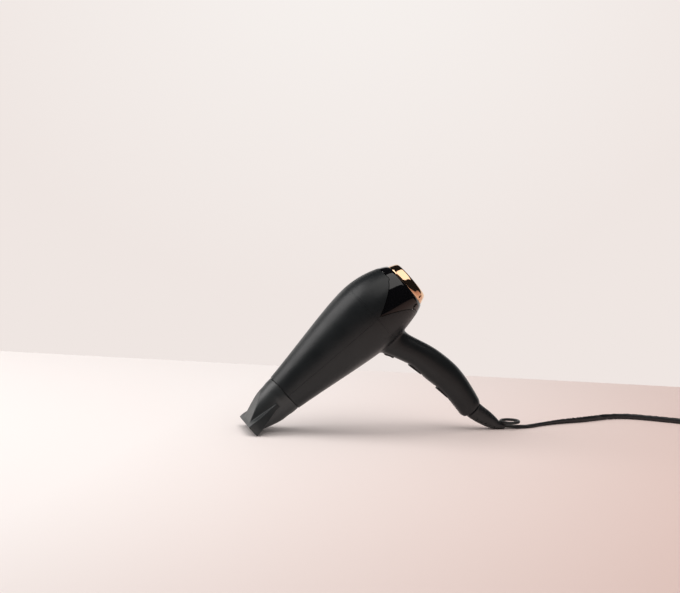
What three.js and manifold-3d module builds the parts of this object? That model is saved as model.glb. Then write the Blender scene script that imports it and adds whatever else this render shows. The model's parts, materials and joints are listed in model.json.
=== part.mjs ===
// A hand-held hair dryer with a slot nozzle, propped on the edge of its nozzle and on its cord boot.
// Millimetres, +Z up. The dryer is drawn in its own frame first, and then tilted into its resting pose.
// In that frame +X runs back along the barrel from its outlet, +Z points away from the handle, and the
// dryer is alike on both sides of the plane Y = 0.
import * as THREE from "three";
import { mergeVertices } from "three/addons/utils/BufferGeometryUtils.js";
import Module from "manifold-3d";

// ---- Driving dimensions ----

// Gap between pieces that meet, and the running gap round pieces that turn.
const CLEARANCE = 0.3;
const RUNNING_GAP = 1;

// Barrel: a slim outlet that swells to the widest place over the fan, and a cap that closes in behind it.
const OUTLET_RADIUS = 24.9;
const BELLY_RADIUS = 43.8;
const BELLY_X = 137;
const CAP_END_X = 191.5;
const CAP_END_RADIUS = 31;
const SHELL_WALL = 2.2;
const RING_SEAM_X = 139.6;

// Gloss cap: its front edge, and the pointed wing on each side that reaches forward.
const CAP_FRONT_X = 182;
const WING_REACH = 38.5;
const WING_HALF_HEIGHT = 31;
const CAP_WALL = 1.8;

// Behind its widest place the barrel's line sinks towards the handle, and its end tips back.
const DROOP_START_X = 145;
const DROOP = 3.2;
const DROOP_STRETCH = 1;
const DROOP_TILT = 0.038;

// Trim ring, rear grille and filter.
const RING_WIDTH = 10.5;
const RING_FRONT_RADIUS = 29.6;
const RING_REAR_RADIUS = 25.3;
const RING_WALL = 1.6;
const GRILLE_THICKNESS = 2.4;
const GRILLE_SPOKES = 12;
const GRILLE_SPOKE_WIDTH = 1.4;
const GRILLE_HOOPS = [1, 0.78, 0.56, 0.34];
const GRILLE_HOOP_WIDTH = 1.6;
const GRILLE_HUB_RADIUS = 3.6;
const FILTER_THICKNESS = 0.8;

// Nozzle: a cone flattened above and below into a slot, with a fin on each side.
const NOZZLE_LENGTH = 59.7;
const NOZZLE_REAR_RADIUS = 24.3;
const NOZZLE_WALL = 1.9;
const SLOT_WIDTH = 70;
const SLOT_HEIGHT = 14.8;
const FACET_START = 20;
const FIN_START = 15.5;
const FIN_ROOT_HEIGHT = 5;
const SNAP_RING_WALL = 1.3;
const SNAP_RING_LENGTH = 8;

// Outlet collar and its grille.
const SPIGOT_RADIUS = 20.4;
const SPIGOT_LENGTH = 9.5;
const SPIGOT_WALL = 1.2;
const COLLAR_FLANGE = 3;
const COLLAR_SOCKET = 6;
const OUTLET_GRILLE_THICKNESS = 2.5;
const OUTLET_GRILLE_HOOPS = [1, 0.64, 0.28];
const OUTLET_GRILLE_HOOP_WIDTH = 1.4;
const OUTLET_GRILLE_BAR = 1.2;

// Heater: two mica plates that cross, in a mica cone, with two windings round them.
const SLEEVE_REAR_X = 102;
const SLEEVE_REAR_RADIUS = 30.4;
const SLEEVE_WALL = 0.7;
const MICA_PLATE = 0.8;
const PLATE_FRONT_X = 14;
const PLATE_REAR_X = 92;
const PLATE_EDGE_GAP = 4;
const WIRE_RADIUS = 0.7;
const COIL_LIFT = 1.3;
const WINDINGS = [
  { name: "heater_coil_front", from: 19, to: 50, turns: 5 },
  { name: "heater_coil_rear", from: 55, to: 87, turns: 5 },
];
const CUTOUT = { x: 60, z: 6, length: 12, height: 9, thickness: 4 };
const FUSE = { x: 62, z: -10, length: 12, radius: 1.8 };

// Fan and motor.
const DUCT_FRONT_X = 100;
const DUCT_REAR_X = 164;
const DUCT_BORE = 35.9;
const DUCT_WALL = 1.6;
const STATOR_VANES = 7;
const VANE = { length: 22, thickness: 1.4, lean: 0.3 };
const MOTOR_RADIUS = 13.8;
const MOTOR_FRONT_X = 112;
const MOTOR_LENGTH = 33;
const MOTOR_CUP_WALL = 1.5;
const SHAFT_RADIUS = 1.2;
const FAN_HUB_RADIUS = 14;
const FAN_DEPTH = 12;
const FAN_BLADES = 9;

// Handle: how far its sections lie below the barrel's axis, with their middle, half depth and half width.
const HANDLE_WALL = 2.1;
const HANDLE_SECTIONS = [
  { drop: 30, middle: 134, depth: 24, width: 18.6 },
  { drop: 38, middle: 135.5, depth: 21.7, width: 17.6 },
  { drop: 45, middle: 137.8, depth: 19.3, width: 16.9 },
  { drop: 52, middle: 140.2, depth: 18, width: 16.5 },
  { drop: 60, middle: 143.4, depth: 17.4, width: 16.3 },
  { drop: 78, middle: 150.4, depth: 17.1, width: 16.3 },
  { drop: 92, middle: 153.6, depth: 17.9, width: 16.4 },
  { drop: 108, middle: 156, depth: 18.4, width: 16.4 },
  { drop: 124, middle: 158, depth: 17.8, width: 16.1 },
  { drop: 142, middle: 158, depth: 16.6, width: 15.5 },
  { drop: 159, middle: 156.3, depth: 15.5, width: 14.7 },
  { drop: 171, middle: 154.7, depth: 14.6, width: 14 },
  { drop: 175.5, middle: 154.5, depth: 12.6, width: 12.4 },
];
const HANDLE_ROUNDNESS = 2.4;

// Controls on the front of the handle, by how far each lies below the barrel's axis.
const COOL_BUTTON = { drop: 54, length: 12, width: 9, proud: 1.5, travel: 2.5 };
const SPEED_SLIDE = { drop: 89, length: 18, width: 10, proud: 1.7, travel: 5 };
const HEAT_SLIDE = { drop: 134, length: 18, width: 10, proud: 1.7, travel: 5 };
const TRACK_DEPTH = 1;
const SPRING_LENGTH = 4;

// What the handle holds, by how far each lies below the barrel's axis.
const BOARD = { top: 96, bottom: 140, width: 18, thickness: 1.6, behind: 5.2 };
const CAPACITOR = { drop: 108.5, length: 14, radius: 3.4 };
const CHOKE = { drop: 116.2, length: 12, radius: 3.2 };
const CLAMP = { drop: 157, height: 6, width: 20, wall: 2 };
const WIRE_CORE_RADIUS = 1;
const WIRE_SPREAD = 3.4;
const WIRE_ROUTE = [
  [163, 1, -149.5],
  [169, 1.6, -143.5],
  [169.6, 1.6, -128],
  [168.2, 1.6, -104],
  [161, 1.6, -80],
  [154, 1.6, -60],
  [149, 2, -43],
];

// Cord boot: a flat tapered sleeve with a hanging loop on its end.
const BOOT_SECTIONS = [
  { x: 154.8, z: -168, depth: 9.4, width: 9.4 },
  { x: 155.3, z: -176.6, depth: 9.6, width: 9.6 },
  { x: 155.6, z: -178, depth: 11, width: 10.8 },
  { x: 157.2, z: -186, depth: 10.4, width: 10.2 },
  { x: 159.2, z: -193.4, depth: 9.8, width: 9.4 },
  { x: 161, z: -200.4, depth: 8.9, width: 8.6 },
  { x: 163, z: -207, depth: 7.4, width: 7.8 },
  { x: 165.8, z: -213.4, depth: 5.1, width: 7 },
  { x: 170.1, z: -219.7, depth: 3.4, width: 5.6 },
];
const BOOT_ROUNDNESS = 2.5;
const BOOT_SLOTS = 6;
const BOOT_SLOT_WIDTH = 1.3;
const BOOT_SPINE = [6, 2.6];
const LOOP_RADIUS = 11.2;
const LOOP_BAR = 1.8;
const LOOP_AHEAD = 7.4;
const LOOP_RISE = 5.6;

// Cord: a flat twin flex. The route's points are chosen by hand, from the boot's end.
const CORD_WIDTH = 7;
const CORD_THICKNESS = 4.4;
const CORD_ROUTE = [
  [0, 0, 1.2],
  [8, 0, 0.8],
  [20, 0, 0.1],
  [35, 4, 0],
  [51, 14, 0],
  [77, 25, 0],
  [109, 34, 0],
  [130, 43, 0],
  [152, 52, 0],
  [175, 53, 0],
  [200, 42, 0],
  [224, 27, 0],
];
const COIL_CENTRE = [296, 33];
const COIL_START_ANGLE = THREE.MathUtils.degToRad(-122.5);
const COIL_MID_RADIUS = 36.5;
const COIL_BAND = 20;
const COIL_LAYERS = 2;
const TIE_THICKNESS = 0.8;
const TIE_WIDTH = 8;

// Plug: a round-pinned contour plug.
const PLUG_BODY_LENGTH = 42;
const PLUG_BODY_WIDTH = 36;
const PLUG_BODY_HEIGHT = 26;
const PLUG_GRIP_LENGTH = 15;
const PLUG_GRIP_HALF_WIDTH = 4.4;
const PIN_RADIUS = 2.4;
const PIN_LENGTH = 19;
const PIN_SPACING = 19;
const PIN_DEPTH = 8;

// How finely round shapes are drawn.
const FINE = 36;
const MEDIUM = 20;
const COARSE = 10;

// ---- Solids ----

const wasm = await Module();
wasm.setup();

// A closed geometry as a solid with its faces pointing outwards.
function solidOf(geometry) {
  const bare = geometry.index ? geometry.toNonIndexed() : geometry.clone();
  bare.deleteAttribute("normal");
  bare.deleteAttribute("uv");
  const merged = mergeVertices(bare, 1e-3);
  const corners = merged.index.array;
  const kept = [];
  for (let i = 0; i < corners.length; i += 3) {
    const [a, b, c] = [corners[i], corners[i + 1], corners[i + 2]];
    if (a !== b && b !== c && c !== a) kept.push(a, b, c);
  }
  if (signedVolume(merged.attributes.position, kept) < 0) kept.reverse();
  const vertProperties = merged.attributes.position.array;
  return new wasm.Manifold(new wasm.Mesh({ numProp: 3, vertProperties, triVerts: new Uint32Array(kept) }));
}

function signedVolume(position, corners) {
  const [a, b, c] = [new THREE.Vector3(), new THREE.Vector3(), new THREE.Vector3()];
  let volume = 0;
  for (let i = 0; i < corners.length; i += 3) {
    a.fromBufferAttribute(position, corners[i]);
    b.fromBufferAttribute(position, corners[i + 1]);
    c.fromBufferAttribute(position, corners[i + 2]);
    volume += a.dot(b.cross(c)) / 6;
  }
  return volume;
}

function geometryOf(solid) {
  const mesh = solid.getMesh();
  const points = new Float32Array(mesh.numVert * 3);
  for (let i = 0; i < mesh.numVert; i += 1) {
    points.set(mesh.vertProperties.subarray(i * mesh.numProp, i * mesh.numProp + 3), i * 3);
  }
  const geometry = new THREE.BufferGeometry();
  geometry.setAttribute("position", new THREE.BufferAttribute(points, 3));
  geometry.setIndex(new THREE.BufferAttribute(mesh.triVerts, 1));
  return geometry.toNonIndexed();
}

function join(...solids) {
  return solids.reduce((whole, piece) => whole.add(piece));
}

// A box given by its lowest and highest corners.
function block(low, high) {
  const size = high.map((value, axis) => value - low[axis]);
  const geometry = new THREE.BoxGeometry(...size);
  geometry.translate(...low.map((value, axis) => value + size[axis] / 2));
  return solidOf(geometry);
}

// A profile of [x, radius] points turned round the X axis. It closes on itself or ends on the axis.
function turned(profile, sides = FINE) {
  const points = profile.map(([x, radius]) => new THREE.Vector2(Math.max(radius, 0), x));
  const onAxis = points[0].x === 0 && points.at(-1).x === 0;
  if (!onAxis) points.push(points[0].clone());
  const geometry = new THREE.LatheGeometry(points, sides);
  geometry.rotateZ(-Math.PI / 2);
  return solidOf(geometry);
}

// A round bar along X, and one along Y.
function barX(x0, x1, radius, sides = COARSE) {
  return turned([[x0, 0], [x0, radius], [x1, radius], [x1, 0]], sides);
}

function barY(x, z, y0, y1, radius, sides = COARSE) {
  const geometry = new THREE.CylinderGeometry(radius, radius, y1 - y0, sides);
  geometry.translate(x, (y0 + y1) / 2, z);
  return solidOf(geometry);
}

// A tube or disc between two radii.
function ringX(x0, x1, inner, outer, sides = FINE) {
  return turned([[x0, inner], [x0, outer], [x1, outer], [x1, inner]], sides);
}

// An outline of [x, z] points, thick along Y.
function plateXZ(outline, y0, y1) {
  const shape = new THREE.Shape(outline.map(([x, z]) => new THREE.Vector2(x, z)));
  const geometry = new THREE.ExtrudeGeometry(shape, { depth: y1 - y0, bevelEnabled: false });
  geometry.rotateX(Math.PI / 2);
  geometry.translate(0, y1, 0);
  return solidOf(geometry);
}

// A skin over rings that hold the same number of points, closed at both ends.
function loft(rings) {
  const count = rings[0].length;
  const points = rings.flat();
  const corners = [];
  for (let i = 0; i + 1 < rings.length; i += 1) {
    for (let j = 0; j < count; j += 1) {
      const next = (j + 1) % count;
      const [a, b] = [i * count + j, i * count + next];
      const [c, d] = [a + count, b + count];
      corners.push(a, b, d, a, d, c);
    }
  }
  for (const [ring, flipped] of [[0, true], [rings.length - 1, false]]) {
    const middle = new THREE.Vector3();
    rings[ring].forEach((point) => middle.addScaledVector(point, 1 / count));
    const hub = points.push(middle) - 1;
    for (let j = 0; j < count; j += 1) {
      const [a, b] = [ring * count + j, ring * count + ((j + 1) % count)];
      corners.push(...(flipped ? [b, a, hub] : [a, b, hub]));
    }
  }
  const geometry = new THREE.BufferGeometry().setFromPoints(points);
  geometry.setIndex(corners);
  return solidOf(geometry);
}

// Points round a superellipse: roundness 2 is an ellipse, and more is squarer.
function superellipse(halfA, halfB, roundness, count = MEDIUM) {
  return Array.from({ length: count }, (unused, i) => {
    const angle = (2 * Math.PI * i) / count;
    const [c, s] = [Math.cos(angle), Math.sin(angle)];
    const power = 2 / roundness;
    return [halfA * Math.sign(c) * Math.abs(c) ** power, halfB * Math.sign(s) * Math.abs(s) ** power];
  });
}

// A round wire, or a flat cord that sets out along X, along a smooth route.
function cable(route, halfWidth, halfThickness, sides, steps) {
  const curve = new THREE.CatmullRomCurve3(route.map((point) => new THREE.Vector3(...point)));
  const outline = superellipse(halfWidth, halfThickness, 2, sides).map(([a, b]) => new THREE.Vector2(a, b));
  const shape = new THREE.Shape(outline);
  return solidOf(new THREE.ExtrudeGeometry(shape, { steps, extrudePath: curve, bevelEnabled: false }));
}

// ---- Outlines that several pieces share ----

const bellyFront = new THREE.CubicBezierCurve(
  new THREE.Vector2(0, OUTLET_RADIUS),
  new THREE.Vector2(0.365 * BELLY_X, OUTLET_RADIUS + 0.35 * (BELLY_RADIUS - OUTLET_RADIUS)),
  new THREE.Vector2(0.79 * BELLY_X, BELLY_RADIUS),
  new THREE.Vector2(BELLY_X, BELLY_RADIUS),
);
const tailLength = CAP_END_X - BELLY_X;
const tailFall = BELLY_RADIUS - CAP_END_RADIUS;
const bellyRear = new THREE.CubicBezierCurve(
  new THREE.Vector2(BELLY_X, BELLY_RADIUS),
  new THREE.Vector2(BELLY_X + 0.37 * tailLength, BELLY_RADIUS),
  new THREE.Vector2(BELLY_X + 0.81 * tailLength, CAP_END_RADIUS + 0.55 * tailFall),
  new THREE.Vector2(CAP_END_X, CAP_END_RADIUS),
);

// The barrel's outer radius at a place along it.
function barrelRadius(x) {
  const curve = x < BELLY_X ? bellyFront : bellyRear;
  let [low, high] = [0, 1];
  for (let i = 0; i < 24; i += 1) {
    const middle = (low + high) / 2;
    if (curve.getPoint(middle).x < x) low = middle;
    else high = middle;
  }
  return curve.getPoint(low).y;
}

// The barrel's outline between two places, moved in or out by an offset.
function barrelLine(x0, x1, offset, steps) {
  return Array.from({ length: steps + 1 }, (unused, i) => {
    const x = x0 + ((x1 - x0) * i) / steps;
    return [x, barrelRadius(x) + offset];
  });
}

// A shell that follows the barrel between two places.
function barrelShell(x0, x1, wall, steps) {
  const outside = barrelLine(x0, x1, 0, steps);
  const inside = barrelLine(x0, x1, -wall, steps).reverse();
  return turned([...outside, ...inside]);
}

function clamped(value) {
  return Math.min(Math.max(value, 0), 1);
}

// Sinks and tips the rear of a solid that is drawn on the straight axis. The handle stays where it is.
function drooped(solid) {
  const [handleZ, blend] = [-60, 25];
  return solid.warp((point) => {
    const [x, , z] = point;
    const hold = clamped((z - handleZ) / blend);
    const share = hold * clamped((x - DROOP_START_X) / (CAP_END_X - DROOP_START_X)) ** 2;
    point[0] = x + share * (DROOP_STRETCH + DROOP_TILT * z);
    point[2] = z - share * DROOP - hold * DROOP_TILT * Math.max(x - CAP_END_X, 0);
  });
}

function barrelCore(x0, x1, offset, steps) {
  return turned([[x0, 0], ...barrelLine(x0, x1, offset, steps), [x1, 0]]);
}

// The space behind the cap's front edge, with its two wings, made larger by a margin.
function capSpace(margin) {
  const tip = CAP_FRONT_X - WING_REACH - 2 * margin;
  const front = CAP_FRONT_X - margin;
  const wing = [0.28, 0.52, 0.73, 0.88, 0.97].map((share, i) => {
    const height = (WING_HALF_HEIGHT * (i + 1)) / 6;
    return [tip + (front - tip) * share, height + margin];
  });
  const upper = [[tip, 0], ...wing, [front, WING_HALF_HEIGHT + margin], [front, 60], [CAP_END_X + 5, 60]];
  const lower = upper.slice(1).map(([x, z]) => [x, -z]);
  return plateXZ([...upper, ...lower.reverse()], -60, 60);
}

// The handle's section at any drop below the barrel's axis.
function handleAt(drop) {
  const next = HANDLE_SECTIONS.findIndex((section) => section.drop >= drop);
  const [a, b] = [HANDLE_SECTIONS[Math.max(next - 1, 0)], HANDLE_SECTIONS[Math.max(next, 1)]];
  const share = (drop - a.drop) / (b.drop - a.drop);
  const at = (key) => THREE.MathUtils.lerp(a[key], b[key], share);
  return { drop, middle: at("middle"), depth: at("depth"), width: at("width") };
}

const HANDLE_END = HANDLE_SECTIONS.at(-1).drop;

// The handle as a solid, its skin moved inwards by an inset.
function handleCore(inset) {
  const sections = inset ? HANDLE_SECTIONS.slice(0, -1) : HANDLE_SECTIONS;
  const rings = sections.map(({ drop, middle, depth, width }) =>
    superellipse(depth - inset, width - inset, HANDLE_ROUNDNESS).map(
      ([dx, dy]) => new THREE.Vector3(middle + dx, dy, -drop),
    ),
  );
  if (inset) {
    const last = handleAt(HANDLE_END - inset);
    const end = superellipse(last.depth - inset, last.width - inset, HANDLE_ROUNDNESS);
    rings.push(end.map(([dx, dy]) => new THREE.Vector3(last.middle + dx, dy, inset - HANDLE_END)));
  }
  return loft(rings);
}

// A frame on the handle's front: its +X points out of the handle, and its +Z up along it.
function onHandleFront(drop) {
  const span = 6;
  const [above, below] = [handleAt(drop - span), handleAt(drop + span)];
  const rise = above.middle - above.depth - below.middle + below.depth;
  const up = new THREE.Vector3(rise, 0, 2 * span).normalize();
  const side = new THREE.Vector3(0, -1, 0);
  const out = new THREE.Vector3().crossVectors(side, up);
  const here = handleAt(drop);
  return new THREE.Matrix4().makeBasis(out, side, up).setPosition(here.middle - here.depth, 0, -drop);
}

// A piece drawn in such a frame, put in its place.
function placed(solid, matrix) {
  return solidOf(geometryOf(solid).applyMatrix4(matrix));
}

// ---- Finishes and placing ----

const finishes = {
  satinBlack: new THREE.MeshStandardMaterial({ color: 0x1d1e20, roughness: 0.42, metalness: 0 }),
  glossBlack: new THREE.MeshStandardMaterial({ color: 0x0b0b0d, roughness: 0.08, metalness: 0 }),
  nozzleBlack: new THREE.MeshStandardMaterial({ color: 0x202224, roughness: 0.5, metalness: 0 }),
  roseGold: new THREE.MeshStandardMaterial({ color: 0xd9a27c, roughness: 0.14, metalness: 1 }),
  darkPlastic: new THREE.MeshStandardMaterial({ color: 0x26272a, roughness: 0.55, metalness: 0 }),
  heatPlastic: new THREE.MeshStandardMaterial({ color: 0x17181a, roughness: 0.6, metalness: 0 }),
  whitePlastic: new THREE.MeshStandardMaterial({ color: 0xd8d4c8, roughness: 0.5, metalness: 0 }),
  mica: new THREE.MeshStandardMaterial({ color: 0xb9a27a, roughness: 0.45, metalness: 0 }),
  steel: new THREE.MeshStandardMaterial({ color: 0xa7a9ac, roughness: 0.35, metalness: 1 }),
  heaterWire: new THREE.MeshStandardMaterial({ color: 0x8b8580, roughness: 0.45, metalness: 1 }),
  brass: new THREE.MeshStandardMaterial({ color: 0xc9a24f, roughness: 0.3, metalness: 1 }),
  copper: new THREE.MeshStandardMaterial({ color: 0xb4653a, roughness: 0.35, metalness: 1 }),
  board: new THREE.MeshStandardMaterial({ color: 0x6a5a2c, roughness: 0.6, metalness: 0 }),
  component: new THREE.MeshStandardMaterial({ color: 0x2f5d8a, roughness: 0.5, metalness: 0 }),
  wireBlue: new THREE.MeshStandardMaterial({ color: 0x2556a8, roughness: 0.5, metalness: 0 }),
  wireBrown: new THREE.MeshStandardMaterial({ color: 0x6b3f22, roughness: 0.5, metalness: 0 }),
  wireRed: new THREE.MeshStandardMaterial({ color: 0xa8231f, roughness: 0.5, metalness: 0 }),
  rubber: new THREE.MeshStandardMaterial({ color: 0x1b1b1c, roughness: 0.75, metalness: 0 }),
};

const dryer = new THREE.Group();

function add(name, solid, finish, group = dryer) {
  const geometry = geometryOf(solid);
  geometry.computeVertexNormals();
  const mesh = new THREE.Mesh(geometry, finishes[finish]);
  mesh.name = name;
  group.add(mesh);
  return mesh;
}

// ---- Nozzle ----

// The nozzle's cone with its two flats, with the skin moved inwards by an inset.
function nozzleBody(inset) {
  const rear = NOZZLE_REAR_RADIUS - inset;
  const waist = 0.93 * NOZZLE_REAR_RADIUS - inset;
  const cone = turned([
    [-NOZZLE_LENGTH - (inset ? 1 : 0), 0],
    [-NOZZLE_LENGTH - (inset ? 1 : 0), 0.86 * NOZZLE_REAR_RADIUS - inset],
    [-FACET_START, waist],
    [-CLEARANCE, rear],
    [-CLEARANCE, 0],
  ]);
  const slot = SLOT_HEIGHT / 2 - inset;
  const slope = (waist - slot) / (NOZZLE_LENGTH - FACET_START);
  const flats = plateXZ(
    [
      [-NOZZLE_LENGTH - 2, slot - 2 * slope],
      [-FACET_START, waist],
      [0, waist + FACET_START * slope],
      [0, -waist - FACET_START * slope],
      [-FACET_START, -waist],
      [-NOZZLE_LENGTH - 2, -slot + 2 * slope],
    ],
    -60,
    60,
  );
  return cone.intersect(flats);
}

// The fins, which spread from thin roots on the cone to the width and height of the slot.
function nozzleFins(inset) {
  const [half, top] = [SLOT_WIDTH / 2 - inset, SLOT_HEIGHT / 2 - inset];
  const front = -NOZZLE_LENGTH - (inset ? 1 : 0);
  const root = NOZZLE_REAR_RADIUS - inset;
  const side = [
    [front, half],
    [front + 9, half - 0.6],
    [-FIN_START - 24, root + 6.4],
    [-FIN_START - 12, root + 1.8],
    [-FIN_START - 1.5, root - 0.6],
    [-FIN_START, root - 2.5],
  ];
  const outline = [...side.map(([x, y]) => [x, -y]), ...side.reverse()];
  const shape = new THREE.Shape(outline.map(([x, y]) => new THREE.Vector2(x, y)));
  const geometry = new THREE.ExtrudeGeometry(shape, { depth: 2 * top, bevelEnabled: false });
  geometry.translate(0, 0, -top);
  const thin = FIN_ROOT_HEIGHT / 2 - inset;
  const taper = [[front, -top], [-FIN_START, -thin], [-FIN_START, thin], [front, top]];
  return solidOf(geometry).intersect(plateXZ(taper, -60, 60));
}

function buildNozzle() {
  const outside = join(nozzleBody(0), nozzleFins(0));
  const socketX = -SNAP_RING_LENGTH - 2;
  const ahead = block([-NOZZLE_LENGTH - 10, -100, -100], [socketX + 0.5, 100, 100]);
  const inside = join(nozzleBody(NOZZLE_WALL), nozzleFins(NOZZLE_WALL)).intersect(ahead);
  const socket = barX(socketX, 1, SPIGOT_RADIUS + SNAP_RING_WALL + 2 * CLEARANCE, FINE);
  add("nozzle", outside.subtract(join(inside, socket)), "nozzleBlack");
  const inner = SPIGOT_RADIUS + CLEARANCE;
  const ring = ringX(-SNAP_RING_LENGTH - 1, -CLEARANCE, inner, inner + SNAP_RING_WALL, FINE);
  add("nozzle_snap_ring", ring, "heatPlastic");
}

// ---- Barrel front ----

function buildBarrel() {
  const front = barrelShell(0, RING_SEAM_X, SHELL_WALL, 8).subtract(handleCore(-CLEARANCE));
  const gap = CLEARANCE / 2;
  add("barrel_upper_shell", front.intersect(block([-5, -60, gap], [200, 60, 60])), "satinBlack");
  add("barrel_lower_shell", front.intersect(block([-5, -60, -60], [200, 60, -gap])), "satinBlack");
}

function buildOutlet() {
  const flange = barrelRadius(CLEARANCE) - SHELL_WALL - CLEARANCE;
  const inner = SPIGOT_RADIUS - SPIGOT_WALL;
  const collar = turned([
    [-SPIGOT_LENGTH, inner],
    [-SPIGOT_LENGTH, SPIGOT_RADIUS],
    [CLEARANCE, SPIGOT_RADIUS],
    [CLEARANCE, flange],
    [CLEARANCE + COLLAR_FLANGE, flange],
    [CLEARANCE + COLLAR_FLANGE, SPIGOT_RADIUS],
    [CLEARANCE + COLLAR_FLANGE + COLLAR_SOCKET, SPIGOT_RADIUS],
    [CLEARANCE + COLLAR_FLANGE + COLLAR_SOCKET, inner],
  ]);
  add("outlet_collar", collar, "heatPlastic");
  const rim = inner - CLEARANCE;
  const back = -1;
  const front = back - OUTLET_GRILLE_THICKNESS;
  const rings = OUTLET_GRILLE_HOOPS.map((share) =>
    ringX(front, back, share * rim - OUTLET_GRILLE_HOOP_WIDTH, share * rim, MEDIUM),
  );
  const bars = [0, 1, 2].map((turn) => {
    const bar = new THREE.BoxGeometry(OUTLET_GRILLE_THICKNESS, 2 * rim - 1, OUTLET_GRILLE_BAR);
    bar.rotateX((turn * Math.PI) / 3);
    bar.translate((front + back) / 2, 0, 0);
    return solidOf(bar);
  });
  add("outlet_grille", join(...rings, ...bars), "heatPlastic");
}

// ---- Heater ----

const sleeveFrontX = 2 * CLEARANCE + COLLAR_FLANGE;
const sleeveFrontRadius = SPIGOT_RADIUS + CLEARANCE;

// The sleeve's inner radius at a place along it.
function sleeveRadius(x) {
  return THREE.MathUtils.mapLinear(x, sleeveFrontX, SLEEVE_REAR_X, sleeveFrontRadius, SLEEVE_REAR_RADIUS);
}

function buildHeater() {
  const sleeve = turned([
    [sleeveFrontX, sleeveFrontRadius],
    [sleeveFrontX, sleeveFrontRadius + SLEEVE_WALL],
    [SLEEVE_REAR_X, SLEEVE_REAR_RADIUS + SLEEVE_WALL],
    [SLEEVE_REAR_X, SLEEVE_REAR_RADIUS],
  ]);
  add("mica_sleeve", sleeve, "mica");
  const edge = (x) => sleeveRadius(x) - PLATE_EDGE_GAP;
  const outline = [
    [PLATE_FRONT_X, -edge(PLATE_FRONT_X)],
    [PLATE_REAR_X, -edge(PLATE_REAR_X)],
    [PLATE_REAR_X, edge(PLATE_REAR_X)],
    [PLATE_FRONT_X, edge(PLATE_FRONT_X)],
  ];
  const half = MICA_PLATE / 2;
  const slit = half + CLEARANCE;
  const middle = (PLATE_FRONT_X + PLATE_REAR_X) / 2;
  const upright = plateXZ(outline, -half, half);
  const frontSlit = block([PLATE_FRONT_X - 1, -60, -slit], [middle + CLEARANCE, 60, slit]);
  add("mica_plate_upright", upright.subtract(frontSlit), "mica");
  const flat = new THREE.Matrix4().makeRotationX(Math.PI / 2);
  const rearSlit = block([middle - CLEARANCE, -slit, -60], [PLATE_REAR_X + 1, slit, 60]);
  add("mica_plate_flat", placed(upright, flat).subtract(rearSlit), "mica");
  for (const { name, from, to, turns } of WINDINGS) {
    const steps = turns * COARSE;
    const route = Array.from({ length: steps + 1 }, (unused, i) => {
      const x = THREE.MathUtils.lerp(from, to, i / steps);
      const angle = (2 * Math.PI * turns * i) / steps;
      const radius = edge(x) + COIL_LIFT + WIRE_RADIUS;
      return [x, radius * Math.cos(angle), radius * Math.sin(angle)];
    });
    add(name, cable(route, WIRE_RADIUS, WIRE_RADIUS, 5, steps), "heaterWire");
  }
  const face = half + CLEARANCE;
  const cutout = block(
    [CUTOUT.x, face, CUTOUT.z],
    [CUTOUT.x + CUTOUT.length, face + CUTOUT.thickness, CUTOUT.z + CUTOUT.height],
  );
  add("thermal_cutout", cutout, "whitePlastic");
  const fuse = barX(FUSE.x, FUSE.x + FUSE.length, FUSE.radius);
  add("thermal_fuse", fuse.translate(0, face + FUSE.radius, FUSE.z), "steel");
}

// ---- Fan and motor ----

const motorRearX = MOTOR_FRONT_X + MOTOR_LENGTH;
const cupInner = MOTOR_RADIUS + CLEARANCE;
const cupOuter = cupInner + MOTOR_CUP_WALL;
const fanFrontX = motorRearX + CLEARANCE + MOTOR_CUP_WALL + RUNNING_GAP;

function buildFanHousing() {
  const [inside, outside] = [DUCT_BORE, DUCT_BORE + DUCT_WALL];
  const mouth = SLEEVE_REAR_RADIUS + SLEEVE_WALL + CLEARANCE;
  const seat = (x) => barrelRadius(x) - SHELL_WALL - CLEARANCE;
  const flangeX = DUCT_FRONT_X + 14;
  const rearX = DUCT_REAR_X;
  const duct = turned([
    [DUCT_FRONT_X, mouth],
    [DUCT_FRONT_X, mouth + DUCT_WALL],
    [flangeX - 2, outside],
    [flangeX - 1, seat(flangeX - 1)],
    [flangeX + 2, seat(flangeX + 2)],
    [flangeX + 3, outside],
    [rearX - 3, outside],
    [rearX - 3, seat(rearX - 3)],
    [rearX, seat(rearX)],
    [rearX, inside],
    [flangeX, inside],
  ]);
  const cup = turned([
    [MOTOR_FRONT_X + 6, cupInner],
    [MOTOR_FRONT_X + 6, cupOuter],
    [motorRearX + CLEARANCE + MOTOR_CUP_WALL, cupOuter],
    [motorRearX + CLEARANCE + MOTOR_CUP_WALL, SHAFT_RADIUS + RUNNING_GAP],
    [motorRearX + CLEARANCE, SHAFT_RADIUS + RUNNING_GAP],
    [motorRearX + CLEARANCE, cupInner],
  ], MEDIUM);
  const vanes = Array.from({ length: STATOR_VANES }, (unused, i) => {
    const vane = new THREE.BoxGeometry(VANE.length, VANE.thickness, inside - cupOuter + 1);
    vane.rotateZ(VANE.lean);
    vane.translate(MOTOR_FRONT_X + 20, 0, (inside + cupOuter) / 2);
    vane.rotateX((2 * Math.PI * (i + 0.5)) / STATOR_VANES);
    return solidOf(vane);
  });
  add("fan_housing", drooped(join(duct, cup, ...vanes)), "darkPlastic");
}

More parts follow.
